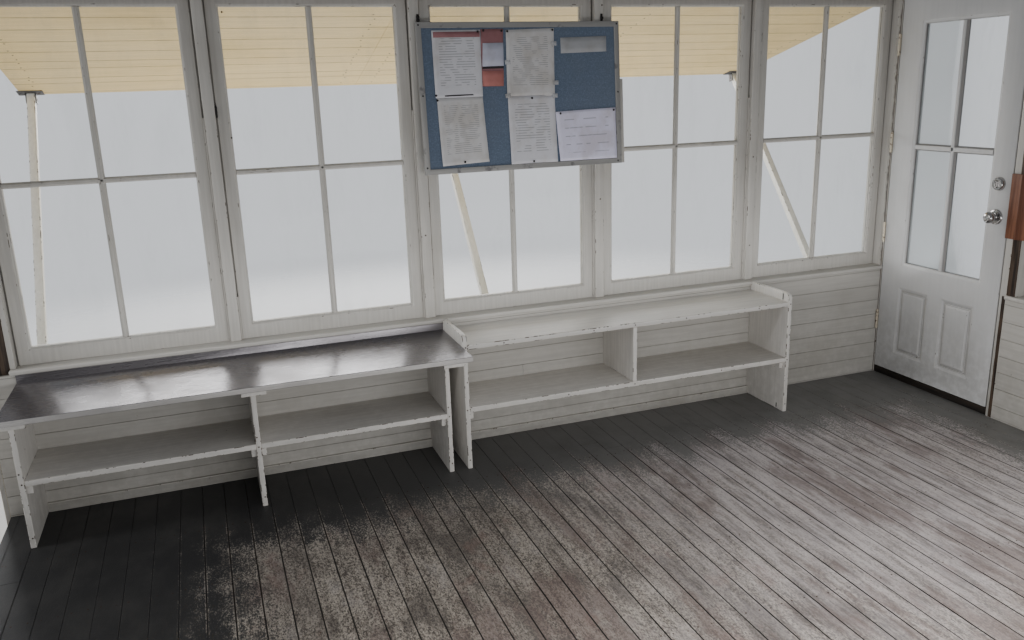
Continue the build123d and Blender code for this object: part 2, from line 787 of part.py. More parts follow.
prop_top_out = shutter_len - prop_set_in
foot = Vector(0, wall_out, floor_z - prop_foot_drop)
head = Vector(0, *on_slope(prop_top_out, -prop_plate_t))
prop_axis = (head - foot).normalized()
prop_side = Vector(0, prop_axis.Z, -prop_axis.Y)
slope_up = shutter_plane.z_dir
prop_x = (shutter_left_end + prop_left_in, prop_mid_x, shutter_right_end - prop_right_in)


def prop_edge(side):
    """The foot and head of one long edge of a prop, cut flat against the wall and the plate."""
    start = foot + prop_side * (side * prop_w / 2)
    to_wall = (wall_out - start.Y) / prop_axis.Y
    to_plate = (head - start).dot(slope_up) / prop_axis.dot(slope_up)
    ends = [start + prop_axis * reach for reach in (to_wall, to_plate)]
    return [(end.Y, end.Z) for end in ends]


lower_foot, lower_head = prop_edge(1)
upper_foot, upper_head = prop_edge(-1)

with BuildPart() as shutter_props:
    for x in prop_x:
        with BuildSketch(Plane.YZ.offset(x)):
            with BuildLine():
                Polyline(lower_foot, lower_head, upper_head, upper_foot, close=True)
            make_face()
        extrude(amount=prop_w / 2, both=True)
save(shutter_props, "shutter_props")

with BuildPart() as prop_plates:
    with BuildSketch(shutter_plane):
        with Locations([(x, prop_top_out - prop_plate_l / 2 + prop_set_in) for x in prop_x]):
            Rectangle(prop_plate_w, prop_plate_l)
    extrude(amount=-prop_plate_t)
save(prop_plates, "prop_plates")

with BuildPart() as prop_cleats:
    for x in prop_x:
        board(
            (x - prop_cleat_w / 2, x + prop_cleat_w / 2),
            (wall_out, wall_out + prop_w),
            (lower_foot[1] - prop_w, lower_foot[1]),
        )
save(prop_cleats, "prop_cleats")
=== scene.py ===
import math

import bmesh
import bpy
import numpy as np
from mathutils import Matrix, Vector


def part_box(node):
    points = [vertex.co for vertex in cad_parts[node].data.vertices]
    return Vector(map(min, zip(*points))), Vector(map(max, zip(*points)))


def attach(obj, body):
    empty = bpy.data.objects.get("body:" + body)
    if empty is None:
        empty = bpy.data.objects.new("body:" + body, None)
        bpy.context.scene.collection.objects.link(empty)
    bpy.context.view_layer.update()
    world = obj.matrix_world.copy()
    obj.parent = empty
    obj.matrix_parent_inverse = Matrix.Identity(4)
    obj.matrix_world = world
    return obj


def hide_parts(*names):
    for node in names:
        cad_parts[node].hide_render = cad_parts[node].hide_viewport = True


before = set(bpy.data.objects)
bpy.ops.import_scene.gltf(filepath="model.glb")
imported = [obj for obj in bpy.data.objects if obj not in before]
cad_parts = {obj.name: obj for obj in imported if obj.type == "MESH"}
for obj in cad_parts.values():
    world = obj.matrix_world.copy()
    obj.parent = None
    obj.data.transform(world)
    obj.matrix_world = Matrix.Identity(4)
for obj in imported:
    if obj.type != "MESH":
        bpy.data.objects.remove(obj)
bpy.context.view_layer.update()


# Places that the CAD nodes and the window pattern give, in metres. BAY is the windows' pitch,
# BOARD the boards' thickness, ROOM_HALF the door wall's room face, SIDE_SASHES the room face of
# its sashes, and LOCK_POST the end of its lining.

DECK, WALL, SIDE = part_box("floor_deck"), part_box("header_window"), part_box("header_side")
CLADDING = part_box("siding")
FLOOR = DECK[1][2]
BAY, BOARD = 0.8534, 0.019
MULLION, SASH_GAP = 0.044, 0.0069
ROOM_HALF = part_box("latch_block")[1][0]
SIDE_SASHES = 2.173
SIDE_WINDOWS = (-1.3017, -2.1551)
LOCK_POST = -0.853
LEAF_THICK = 0.04
SILL_TOP, SILL_BOTTOM, HEAD = 0.77, 0.751, 2.17
COUNTER_FRONT, BENCH_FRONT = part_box("counter_top")[0][1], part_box("bench_top")[0][1]
X, Y, Z = np.eye(3)


# The camera stands in the room and looks at the corner, as in the photograph.

EYE = Vector((-1.35209, -3.72053, 1.77921))
YAW, PITCH, ROLL = 0.34228, -0.2657, -0.03182
LENS, SENSOR = 30.17, 36.0


def make_camera():
    """The view's axes are those of a level look along YAW and PITCH, turned by ROLL."""
    level = Vector((math.cos(YAW), -math.sin(YAW), 0.0))
    ahead = Vector((math.sin(YAW) * math.cos(PITCH), math.cos(YAW) * math.cos(PITCH),
                    math.sin(PITCH)))
    above = level.cross(ahead)
    right = math.cos(ROLL) * level + math.sin(ROLL) * above
    up = -math.sin(ROLL) * level + math.cos(ROLL) * above
    turn = Matrix((right, up, -ahead)).transposed().to_4x4()
    data = bpy.data.cameras.new("room_view")
    data.lens, data.sensor_width, data.sensor_fit = LENS, SENSOR, "HORIZONTAL"
    data.clip_start, data.clip_end = 0.02, 80.0
    camera = bpy.data.objects.new("room_view", data)
    camera.matrix_world = Matrix.Translation(EYE) @ turn
    bpy.context.scene.collection.objects.link(camera)
    bpy.context.scene.camera = camera


make_camera()


# Materials: every one is a small tree of nodes on Object coordinates, which are metres in the
# part's frame.

class Tree:
    """The nodes of a material or a world. Constant numbers go straight on the sockets."""

    def __init__(self, owner):
        owner.use_nodes = True
        self.tree = owner.node_tree
        self.tree.nodes.clear()

    def feed(self, socket, value):
        """A number, a colour or a link on a socket."""
        if isinstance(value, bpy.types.NodeSocket):
            self.tree.links.new(value, socket)
        elif isinstance(value, tuple) and len(value) == 3 and socket.type == "RGBA":
            socket.default_value = (*value, 1.0)
        else:
            socket.default_value = value

    def node(self, kind, *sockets, **settings):
        """A new node's outputs. Settings go on the node, (socket, value) pairs on its inputs."""
        node = self.tree.nodes.new("ShaderNode" + kind)
        for setting, value in settings.items():
            setattr(node, setting, value)
        for socket, value in sockets:
            self.feed(node.inputs[socket], value)
        return node.outputs

    def sum(self, how, a, b=0.0, clamp=False):
        """Two numbers joined: SUBTRACT, MAXIMUM and so on."""
        return self.node("Math", (0, a), (1, b), operation=how, use_clamp=clamp)[0]


class Finish(Tree):
    """A material round one shader."""

    def __init__(self, name, roughness=0.6, metallic=0.0, **numbers):
        self.material = bpy.data.materials.new(name)
        super().__init__(self.material)
        self.shader = self.tree.nodes.new("ShaderNodeBsdfPrincipled")
        self.node("OutputMaterial", (0, self.shader.outputs[0]))
        self.place = self.node("TexCoord")["Object"]
        self.set("Roughness", roughness)
        self.set("Metallic", metallic)
        for socket, number in numbers.items():
            self.set(socket.replace("_", " "), number)

    def set(self, socket, value):
        """A number, a colour or a link on one of the shader's sockets."""
        self.feed(self.shader.inputs[socket], value)
        return self

    def noise(self, scale, along=(1.0, 1.0, 1.0), detail=3.0, rough=0.55,
              shift=(0.0, 0.0, 0.0), twist=0.0):
        """Cloudy noise with `scale` lumps a metre, drawn out along the axes whose share is
        under 1."""
        place = self.node("Mapping", ("Vector", self.place), ("Location", shift),
                          ("Scale", along))[0]
        return self.node("TexNoise", ("Vector", place), ("Scale", scale), ("Detail", detail),
                         ("Roughness", rough), ("Distortion", twist))["Fac"]

    def plus(self, a, b):
        return self.sum("ADD", a, b)

    def times(self, a, b):
        return self.sum("MULTIPLY", a, b)

    def off(self, value, middle):
        """How far a number is from a middle one."""
        return self.sum("ABSOLUTE", self.sum("SUBTRACT", value, middle))

    def between(self, value, low, high, out_low=0.0, out_high=1.0):
        """The value's way from low to high, eased, as a number from out_low to out_high."""
        return self.node("MapRange", ("Value", value), ("From Min", low), ("From Max", high),
                         ("To Min", out_low), ("To Max", out_high),
                         interpolation_type="SMOOTHSTEP")["Result"]

    def mix(self, share, a, b):
        """Colour a with a share of colour b over it."""
        return self.node("Mix", (0, share), (6, a), (7, b), data_type="RGBA")[2]

    def axis(self, which):
        """One coordinate of the place, in metres."""
        return self.node("SeparateXYZ", (0, self.place))["XYZ".index(which)]

    def mark(self, name):
        """The number that the mesh carries under this name."""
        return self.node("Attribute", attribute_name=name)["Fac"]

    def rim(self, start, end, middle=0.0, edge=1.0):
        """A number that changes across a board or sheet, from its middle to its long edges."""
        return self.between(self.sum("ABSOLUTE", self.mark("across")), start, end, middle, edge)

    def bump(self, height, depth):
        """The height's relief, that deep in metres."""
        return self.set("Normal", self.node("Bump", ("Height", height), ("Distance", depth))[0])


def tone(red, green, blue):
    """A colour as it looks on a screen, 0 to 255, turned into the shader's linear numbers."""
    level = np.array((red, green, blue)) / 255.0
    linear = np.where(level <= 0.04045, level / 12.92, ((level + 0.055) / 1.055) ** 2.4)
    return tuple(float(part) for part in linear)


def shade(colour, share, warm=0.0):
    """The colour made darker or lighter by a share, and warmer by taking a little blue away."""
    tints = (1.0, 1.0 - 0.4 * warm, 1.0 - warm)
    return tuple(min(1.0, part * share * tint) for part, tint in zip(colour, tints))


GRAIN = {"x": (0.05, 1.0, 1.0), "y": (1.0, 0.05, 1.0), "z": (1.0, 1.0, 0.05)}
BARE = tone(104, 88, 70)
FRAMING = (tone(158, 128, 94), tone(108, 82, 58))
DARK = (tone(84, 69, 57), tone(44, 35, 30))


def painted(name, coat, grain, wear=0.3, dirt=0.35, gloss=0.45, floor_scuff_and_shade_share=0.35, seam=0.0,
            brushed=1.0, bare_wood_and_shade=None):
    """Old brushed paint: brush marks, cloudy dirt, specks chipped down to the wood, and scuff
    marks that grow toward the floor, where the paint darkens partly as painted shade. Boards,
    whose seam is over 0, differ in tone and hold that much dirt along their edges. The last
    argument, a function of the finish, gives the share that turns dark: bare wood, and painted
    shade in grooves and gaps."""
    f = Finish(name, Specular_IOR_Level=0.35)
    brush = f.noise(75.0, GRAIN[grain], detail=2.0)
    cloud = f.noise(1.9, detail=4.0, rough=0.6)
    speck = f.noise(24.0, detail=4.0, rough=0.65, shift=(3.1, 1.7, 0.4))
    uneven = 0.05 * brushed
    colour = f.mix(f.between(brush, 0.34, 0.66), shade(coat, 1 - uneven), shade(coat, 1 + uneven))
    colour = f.mix(f.between(cloud, 0.47, 0.76, 0.0, dirt), colour, shade(coat, 0.6, 0.12))
    # Toward the floor the paint darkens with scuff specks: partly scuff marks, partly painted
    # shade.
    low = f.between(f.axis("Z"), 0.12, 0.8, floor_scuff_and_shade_share, 0.0)
    scuff_and_shade_mask = f.times(low, f.between(speck, 0.3, 0.62, 0.35, 1.0))
    colour = f.mix(scuff_and_shade_mask, colour, shade(coat, 0.45, 0.1))
    if seam:
        step = f.between(f.mark("board"), 0.0, 1.0, 0.0, 0.16)
        colour = f.mix(step, colour, shade(coat, 0.72, 0.05))
        grime = f.times(f.rim(0.93, 0.99), f.between(speck, 0.36, 0.6, 0.55 * seam, seam))
        colour = f.mix(grime, colour, shade(coat, 0.32, 0.2))
    streak = f.between(brush, 0.4, 0.6)
    chip = f.between(speck, 0.79 - 0.12 * wear, 0.8 - 0.12 * wear)
    colour = f.mix(chip, colour, f.mix(streak, shade(BARE, 0.6), BARE))
    # The share from the last argument turns dark: bare wood, and painted shade in grooves and
    # gaps.
    if bare_wood_and_shade:
        colour = f.mix(bare_wood_and_shade(f), colour, f.mix(streak, DARK[1], DARK[0]))
    f.set("Base Color", colour)
    f.set("Roughness", f.between(cloud, 0.35, 0.75, gloss, gloss + 0.3))
    return f.bump(brush, 0.0007 * brushed).material


def band(f, which, start, end, ragged=0.0, blur=0.001):
    """1 where a coordinate lies between start and end, with an edge that wanders by `ragged`."""
    place = f.axis(which)
    if ragged:
        place = f.plus(place, f.times(f.noise(26.0, detail=3.0), ragged))
    return f.times(f.between(place, start - blur, start + blur),
                   f.between(place, end - blur, end + blur, 1.0, 0.0))


def jamb_bare_and_gap_shade(f):
    """The lock jamb's strip beside the lining, below the sill, and a darkening along the hinges
    that is partly dirt and partly painted shade of the gap.
    """
    strip = f.times(band(f, "Y", -0.9, -0.8305, 0.004), band(f, "Z", 0.0, 0.764))
    return f.plus(strip, f.times(band(f, "Y", -0.1, -0.039, 0.03, 0.004), 0.75))


def post_bare(f):
    """All of the post's faces but the painted one, which looks along the side windows."""
    return f.between(f.axis("Y"), -0.8966, -0.896)


def groove_shade(f):
    """Painted shade deep in the door's mouldings: it grows toward the middle of the leaf's
    thickness.
    """
    return f.between(f.off(f.axis("X"), ROOM_HALF + LEAF_THICK / 2), 0.0125, 0.0145, 0.55, 0.0)


def chipped(name, coat, share):
    """The eased edges of a painted piece: worn brighter in places, with chips down to dark wood.
    """
    f = Finish(name, roughness=0.6, Specular_IOR_Level=0.35)
    chip = f.noise(26.0, detail=4.0, rough=0.7, shift=(0.7, 2.2, 5.1))
    limit = 0.68 - 0.3 * share
    paler = f.between(f.noise(7.0, detail=2.0), 0.35, 0.65)
    colour = f.mix(paler, shade(coat, 0.9, 0.05), shade(coat, 1.12))
    f.set("Base Color", f.mix(f.between(chip, limit, limit + 0.03), colour, shade(BARE, 0.55)))
    return f.bump(chip, 0.0012).material


def timber(name, light, dark, grain, rough=0.78):
    """Bare wood: streaks along the grain, a slow change of tone, and fine dark pores."""
    f = Finish(name, roughness=rough, Specular_IOR_Level=0.25)
    streak = f.noise(26.0, GRAIN[grain], detail=5.0, rough=0.65, twist=0.5)
    slow = f.noise(2.6, detail=2.0)
    pore = f.noise(234.0, GRAIN[grain], detail=1.0)
    colour = f.mix(f.between(streak, 0.34, 0.66), dark, light)
    colour = f.mix(f.between(slow, 0.45, 0.75, 0.0, 0.45), colour, shade(dark, 0.6))
    f.set("Base Color", f.mix(f.between(pore, 0.6, 0.72, 0.0, 0.5), colour, shade(dark, 0.4)))
    return f.bump(streak, 0.0016).material


def trodden(name):
    """Floor boards: charcoal paint along the walls, worn by boots to speckled grey-brown wood in
    the middle. The wear grows with the way inside a bent line by the window wall and straight
    lines by the other two walls, plus cloudy noise, streaks along the boards and a step from
    board to board. The paint goes first from the boards' edges and from the highest specks of
    the grain, so that it thins out over a hand's breadth. The coat grows paler toward the right,
    and the wood takes a pale streaky tone toward the right and the window wall: painted light
    from the windows."""
    f = Finish(name, Specular_IOR_Level=0.3)
    x, y, board = f.axis("X"), f.axis("Y"), f.mark("board")
    cloud = f.noise(6.0, (1.0, 0.6, 1.0), detail=5.0, rough=0.65)
    streak = f.noise(38.0, (1.0, 0.1, 1.0), detail=4.0, rough=0.7, shift=(0.0, 3.3, 0.0))
    grit = f.noise(210.0, (1.0, 0.5, 1.0), detail=3.0, rough=0.7)
    patch = f.noise(5.5, (1.0, 0.45, 1.0), detail=5.0, rough=0.7, shift=(5.3, 2.0, 0.0))
    stain = f.noise(4.2, (1.0, 0.35, 1.0), detail=5.0, rough=0.7, shift=(1.0, 7.0, 0.0))
    slant = f.plus(f.times(x, 0.08), -0.4)
    window_side = f.sum("SUBTRACT", f.sum("MINIMUM", slant, -0.41), y)
    end_walls = f.sum("MINIMUM", f.plus(x, 1.58), f.sum("SUBTRACT", 2.02, x))
    inside = f.sum("MINIMUM", window_side, end_walls)
    for uneven, share in ((cloud, 0.55), (streak, 0.14), (board, 0.1)):
        inside = f.plus(inside, f.times(f.sum("SUBTRACT", uneven, 0.5), share))
    wear = f.plus(f.between(inside, -0.16, 0.42, 0.0, 1.8), f.times(f.rim(0.8, 0.98), 0.7))
    bare = f.between(f.plus(f.between(grit, 0.32, 0.68), wear), 1.3, 2.2)
    speckled = f.plus(f.times(grit, 0.72), f.times(streak, 0.28))
    wood = f.mix(f.between(speckled, 0.38, 0.62), tone(62, 55, 50), tone(166, 158, 148))
    # Painted light: a pale streaky tone that grows toward the right and the window wall.
    pale = f.times(f.between(x, -0.5, 0.9), f.between(streak, 0.36, 0.62, 0.3, 0.72))
    for share, colour in (
        (f.between(patch, 0.48, 0.62, 0.0, 0.6), tone(66, 60, 57)),
        (f.between(patch, 0.34, 0.46, 0.4, 0.0), tone(166, 160, 156)),
        (f.between(cloud, 0.56, 0.68, 0.0, 0.4), tone(122, 94, 86)),
        (f.between(board, 0.0, 1.0, 0.0, 0.25), tone(90, 84, 80)),
        (f.times(pale, f.between(y, -2.5, -1.3, 0.2, 1.0)), tone(206, 198, 199)),
        (f.between(stain, 0.49, 0.62, 0.0, 0.55), tone(104, 88, 84)),
        (f.rim(0.93, 0.98), tone(28, 26, 25)),
    ):
        wood = f.mix(share, wood, colour)
    # Painted light: the charcoal coat grows paler toward the right, where windows light the floor.
    coat = f.mix(f.between(x, -1.3, 0.9), tone(48, 48, 49), tone(118, 117, 115))
    coat = f.mix(f.between(cloud, 0.4, 0.7, 0.0, 0.4), coat, tone(76, 75, 73))
    f.set("Base Color", f.mix(bare, coat, wood))
    f.set("Roughness", f.between(wear, 0.0, 1.6, 0.5, 0.72))
    return f.bump(speckled, 0.001).material


def sheet_steel(name, colour, front):
    """Sheet gone dull with use: fine rubbing marks along it, a slight wave, and duller handled
    patches. Its face in front of the Y given is painted pale and barely metallic: a painted
    reflection of light along the front edge."""
    f = Finish(name)
    smear = f.noise(4.0, detail=4.0, rough=0.6)
    scratch = f.noise(260.0, (0.06, 1.0, 1.0), detail=2.0)
    # Painted reflection: the front face is made pale and barely metallic, like a brightly lit
    # edge.
    pale = f.between(smear, 0.4, 0.6, 1.0, 0.75)
    paler = f.between(f.axis("Y"), front, front + 0.001, pale, 0.0)
    colour = f.mix(f.between(smear, 0.4, 0.75, 0.0, 0.4), colour, shade(colour, 0.7, 0.08))
    f.set("Base Color", f.mix(paler, colour, tone(206, 203, 200)))
    f.set("Metallic", f.between(paler, 0.0, 1.0, 0.6, 0.1))
    f.set("Roughness", f.plus(f.between(smear, 0.3, 0.7, 0.2, 0.32),
                              f.between(scratch, 0.4, 0.7, 0.0, 0.08)))
    return f.bump(f.plus(f.noise(2.4, detail=0.0), f.times(scratch, 0.04)), 0.0016).material


def metal(name, colour, roughness, tarnish, limit, scale, metallic=1.0, pitted=0.0006):
    """Hardware: clean metal, a cloudy tarnish over it that is rougher, and fine pits."""
    f = Finish(name, metallic=metallic)
    cloud = f.noise(scale, detail=4.0, rough=0.65)
    f.set("Base Color", f.mix(f.between(cloud, limit, limit + 0.1), colour, tarnish))
    dull = min(0.9, roughness + 0.35)
    f.set("Roughness", f.between(cloud, limit, limit + 0.1, roughness, dull))
    if pitted:
        f.bump(cloud, pitted)
    return f.material


def pane(name):
    """Thin glass with dust: nearly clear straight through, and a mirror at a low angle."""
    f = Finish(name, roughness=0.04, Specular_IOR_Level=0.6)
    rim = f.node("Fresnel", ("IOR", 1.45))[0]
    dust = f.between(f.noise(7.0, (1.0, 1.0, 0.3), detail=4.0, rough=0.7), 0.45, 0.75, 0.005, 0.05)
    f.set("Base Color", tone(214, 222, 224))
    f.set("Alpha", f.sum("ADD", f.times(rim, 0.6), dust, clamp=True))
    return f.material


def cloth(name, colour):
    """Close woven cloth glued to a board: two crossing sets of threads, and slight fading."""
    f = Finish(name, roughness=0.92, Specular_IOR_Level=0.2)
    warp = f.noise(700.0, (1.0, 1.0, 0.12), detail=1.0)
    weft = f.noise(700.0, (0.12, 1.0, 1.0), detail=1.0, shift=(2.0, 0.0, 7.0))
    weave = f.sum("MAXIMUM", warp, weft)
    fade = f.between(f.noise(3.0, detail=3.0), 0.45, 0.75, 0.0, 0.25)
    colour = f.mix(f.between(weave, 0.5, 0.72), shade(colour, 0.78), shade(colour, 1.12))
    f.set("Base Color", f.mix(fade, colour, tone(118, 126, 134)))
    return f.bump(weave, 0.0008).material


def paper(name, colour, ruled=0.0, gloss=0.75, clear=0.0, line=0.3):
    """A pinned sheet, creased and yellowed a little. Ruled sheets carry that many plain level
    lines of uneven length: the way down the sheet, times their number, modulo 1, is under the
    line's share."""
    f = Finish(name, roughness=gloss, Specular_IOR_Level=0.4, Alpha=1.0 - clear)
    crease = f.noise(9.0, detail=3.0, rough=0.6)
    tint = f.mix(f.between(crease, 0.42, 0.7), colour, shade(colour, 0.84, 0.08))
    if ruled:
        down = f.mark("down")
        inside = f.times(f.rim(0.72, 0.76, 1.0, 0.0),
                         f.between(f.off(down, 0.48), 0.36, 0.37, 1.0, 0.0))
        row = f.sum("FRACT", f.times(down, ruled))
        ink = f.times(f.between(row, line - 0.02, line + 0.04, 1.0, 0.0), inside)
        broken = f.between(f.noise(37.0, detail=0.0), 0.38, 0.5, 0.0, 0.5)
        tint = f.mix(f.times(ink, broken), tint, tone(90, 92, 102))
    f.set("Base Color", tint)
    return f.bump(crease, 0.004).material


WHITE = tone(196, 193, 187)
BENCH = tone(226, 223, 218)
DOOR = tone(208, 208, 208)
CREAM = tone(231, 205, 146)
OUTER = tone(206, 199, 182)
POST = tone(236, 236, 232)
FINISHES = {}
for axis in "xyz":
    FINISHES["room_" + axis] = painted("room_paint_" + axis, WHITE, axis)
    FINISHES["bench_" + axis] = painted("bench_paint_" + axis, BENCH, axis, wear=0.5)
    FINISHES["raw_" + axis] = timber("framing_timber_" + axis, *FRAMING, axis)
for axis in "xy":
    FINISHES["lining_" + axis] = painted("lining_paint_" + axis, WHITE, axis, 0.35, seam=0.25)
    FINISHES["siding_" + axis] = painted("siding_paint_" + axis, OUTER, axis, 0.8, 0.5, seam=0.6)
for family, coat, share in (("room", WHITE, 0.25), ("bench", BENCH, 0.45), ("outer", OUTER, 0.3),
                            ("shutter", CREAM, 0.2), ("door", DOOR, 0.15), ("prop", POST, 0.4)):
    FINISHES[family + "_edge"] = chipped(family + "_paint_edge", coat, share)
FINISHES.update({
    "shutter_x": painted("shutter_paint_x", CREAM, "x", 0.2, 0.22, seam=0.85),
    "shutter_y": painted("shutter_paint_y", CREAM, "y", 0.2, 0.22),
    # Painted shade in the door's grooves; its paint also darkens toward the floor, partly as
    # shade.
    "door_paint": painted("door_paint", DOOR, "z", 0.1, 0.2, 0.4, floor_scuff_and_shade_share=0.5, brushed=0.3,
                          bare_wood_and_shade=groove_shade),
    "jamb_paint": painted("jamb_paint", WHITE, "z", bare_wood_and_shade=jamb_bare_and_gap_shade),
    "post_wood": painted("post_wood", WHITE, "z", bare_wood_and_shade=post_bare),
    "threshold": timber("threshold_timber", tone(58, 50, 44), tone(28, 25, 24), "y"),
    "prop_paint": painted("prop_paint", POST, "z", wear=0.5),
    "raw_edge": timber("framing_timber_edge", *(shade(part, 1.1) for part in FRAMING), "x"),
    "dark_edge": timber("bare_timber_edge", shade(DARK[0], 1.25), shade(DARK[1], 1.2), "z"),
    "block_wood": timber("stained_block", tone(146, 98, 74), tone(96, 58, 42), "z", rough=0.5),
    "base_paint": painted("base_paint", tone(180, 177, 171), "x", wear=0.8, dirt=0.5),
    "frame_paint": metal("board_frame_metal", tone(156, 155, 153), 0.5, tone(126, 125, 126),
                         0.58, 12.0, 0.3),
    "floor": trodden("worn_floor_boards"),
    "steel": sheet_steel("counter_sheet_steel", tone(122, 119, 122), COUNTER_FRONT + 0.0005),
    "chrome": metal("satin_steel", tone(178, 176, 175), 0.17, tone(140, 137, 133), 0.62, 30.0,
                    pitted=0.0),
    "brass": metal("painted_over_brass", tone(214, 204, 184), 0.4, tone(80, 54, 40), 0.54, 60.0,
                   0.6),
    "iron": metal("dull_iron", tone(96, 94, 92), 0.5, tone(84, 60, 46), 0.56, 50.0, 0.8),
    "black_iron": metal("black_iron", tone(46, 44, 44), 0.5, tone(70, 48, 38), 0.6, 90.0, 0.7),
    "nail": metal("rusty_nail", tone(70, 60, 54), 0.6, tone(92, 58, 42), 0.5, 200.0, 0.6),
    "glass": pane("dusty_glass"),
    "cloth": cloth("board_cloth", tone(110, 125, 146)),
    "paper_form": paper("ruled_paper", tone(220, 220, 226), ruled=26.0),
    "paper_plain": paper("plain_paper", tone(214, 213, 214), ruled=34.0),
    "paper_sleeve": paper("paper_in_sleeve", tone(232, 230, 252), 6.0, gloss=0.2, line=0.1),
    "paper_brown": paper("brown_band", tone(156, 110, 114)),
    "paper_red": paper("red_card", tone(190, 124, 118)),
    "paper_black": paper("dark_band", tone(52, 46, 50)),
    "paper_blue": paper("pale_card", tone(198, 200, 218)),
    "paper_label": paper("grey_label", tone(172, 174, 178), gloss=0.5),
    "tape": paper("clear_tape", tone(214, 216, 220), gloss=0.2, clear=0.5),
})


# Shapes: straight pieces are closed outlines carried along lines, round ones are outlines spun
# about an axis, and CAD nodes are copied with their edges eased.

def show(name, points, faces, finish, slot, body="cab", node=None, round_under=None, **marks):
    """A mesh piece from whole arrays of points and faces. A mark is a number per point."""
    mesh = bpy.data.meshes.new(name)
    mesh.from_pydata(np.reshape(points, (-1, 3)).tolist(), [], faces)
    for mark, numbers in marks.items():
        values = np.ravel(numbers).astype(np.float32)
        mesh.attributes.new(mark, "FLOAT", "POINT").data.foreach_set("value", values)
    if round_under is None:
        mesh.shade_flat()
    else:
        mesh.shade_smooth()
        mesh.set_sharp_from_angle(angle=math.radians(round_under))
    return carry(bpy.data.objects.new(name, mesh), finish, body, node)


def carry(obj, finish, body, node):
    """Gives a finished mesh its material and its body, and hides the CAD node it stands for."""
    obj.data.materials.clear()
    obj.data.materials.append(FINISHES[finish])
    bpy.context.scene.collection.objects.link(obj)
    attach(obj, body)
    if node:
        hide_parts(node)
    return obj


def ease(obj, width, edge=None, steps=2, angle=30):
    """Rounds sharp edges, gives the rounding its own finish, and keeps flat faces flat."""
    bevel = obj.modifiers.new("eased_edges", "BEVEL")
    bevel.width, bevel.segments, bevel.limit_method = width, steps, "ANGLE"
    bevel.angle_limit = math.radians(angle)
    bevel.harden_normals = True
    if edge:
        obj.data.materials.append(FINISHES[edge])
        bevel.material = 1
    obj.data.shade_smooth()


def carried(outlines, starts, ends, across, up, stations=2, wander=0.0, seed=1):
    """Closed outlines carried along straight lines, as points and faces.
    Point (t, k) is start + t (end - start) + s(t) (p across + q up), where t runs from 0 to 1 in
    equal steps, (p, q) is the outline's point k, and s is 1 less a random share of the wander.
    Both ends are one flat face."""
    starts, ends = np.atleast_2d(starts).astype(float), np.atleast_2d(ends).astype(float)
    count = len(starts)
    outlines = np.broadcast_to(outlines, (count, *np.shape(outlines)[-2:]))
    across, up = np.broadcast_to(across, (count, 3)), np.broadcast_to(up, (count, 3))
    t = np.linspace(0.0, 1.0, stations)
    spine = starts[:, None, :] + t[None, :, None] * (ends - starts)[:, None, :]
    ring = outlines[:, :, :1] * across[:, None, :] + outlines[:, :, 1:] * up[:, None, :]
    size = 1.0 - wander * np.random.default_rng(seed).random((count, stations, 1, 1))
    points = spine[:, :, None, :] + size * ring[:, None, :, :]
    ahead = np.dot(np.cross(across[0], up[0]), (ends - starts)[0])
    return points, skinned(points.shape[:3], -1 if ahead < 0 else 1)


def skinned(shape, way=1):
    """The four-sided faces between the rings of (piece, ring, corner) points, and one flat face
    on each end. With -1 as the way, every face is turned over."""
    index = np.arange(math.prod(shape)).reshape(shape)
    turned = np.roll(index, -1, axis=2)
    sides = np.stack((index[:, :-1], turned[:, :-1], turned[:, 1:], index[:, 1:]), axis=-1)
    caps = np.concatenate((index[:, 0, ::-1], index[:, -1]))
    return sides.reshape(-1, 4)[:, ::way].tolist() + caps[:, ::way].tolist()


def planks(lows, highs, along=2, origin=(0, 0, 0), turn=np.eye(3), stations=2, wander=0.0,
           seed=1):
    """Square-cut boards between lowest and highest corners, turned and moved together.
    Marks: each board's own number, and the way across its broad face from -1 to 1."""
    lows, highs = np.atleast_2d(lows).astype(float), np.atleast_2d(highs).astype(float)
    axes = np.roll(np.arange(3), -1 - along)[:2]
    half = (highs - lows)[:, axes] / 2
    square = np.array(((-1, -1), (1, -1), (1, 1), (-1, 1)), float)
    starts, ends = (lows + highs) / 2, (lows + highs) / 2
    starts[:, along], ends[:, along] = lows[:, along], highs[:, along]
    across, up = np.eye(3)[axes]
    outlines = square * half[:, None, :]
    points, faces = carried(outlines, starts, ends, across, up, stations, wander, seed)
    broad = int(half.mean(axis=0).argmax())
    number = np.random.default_rng(seed + 100).random(len(lows))
    marks = {
        "board": np.broadcast_to(number[:, None, None], points.shape[:3]),
        "across": np.broadcast_to(square[:, broad], points.shape[:3]),
    }
    return points @ np.transpose(turn) + np.array(origin), faces, marks


def spun(profile, centres, axis, steps):
    """One outline of (reach, radius) spun about an axis at each centre, as points and faces.
    Point (k, s) is centre + reach_k axis + radius_k (cos s a + sin s b), with a and b square to
    the axis."""
    profile, centres = np.array(profile, float), np.atleast_2d(centres).astype(float)
    axis = np.array(axis, float) / np.linalg.norm(axis)
    a = np.cross(axis, np.eye(3)[int(np.abs(axis).argmin())])
    a /= np.linalg.norm(a)
    b = np.cross(axis, a)
    s = np.linspace(0.0, 2 * math.pi, steps, endpoint=False)
    ring = np.cos(s)[:, None] * a + np.sin(s)[:, None] * b
    reach, radius = profile[:, 0, None, None], profile[:, 1, None, None]
    points = centres[:, None, None, :] + reach * axis + radius * ring
    return points, skinned(points.shape[:3])


def joined(*parts):
    """Several sets of points and faces as one."""
    points, faces, first = [], [], 0
    for part in parts:
        corners = np.reshape(part[0], (-1, 3))
        points.append(corners)
        faces += [[first + corner for corner in face] for face in part[1]]
        first += len(corners)
    return np.concatenate(points), faces


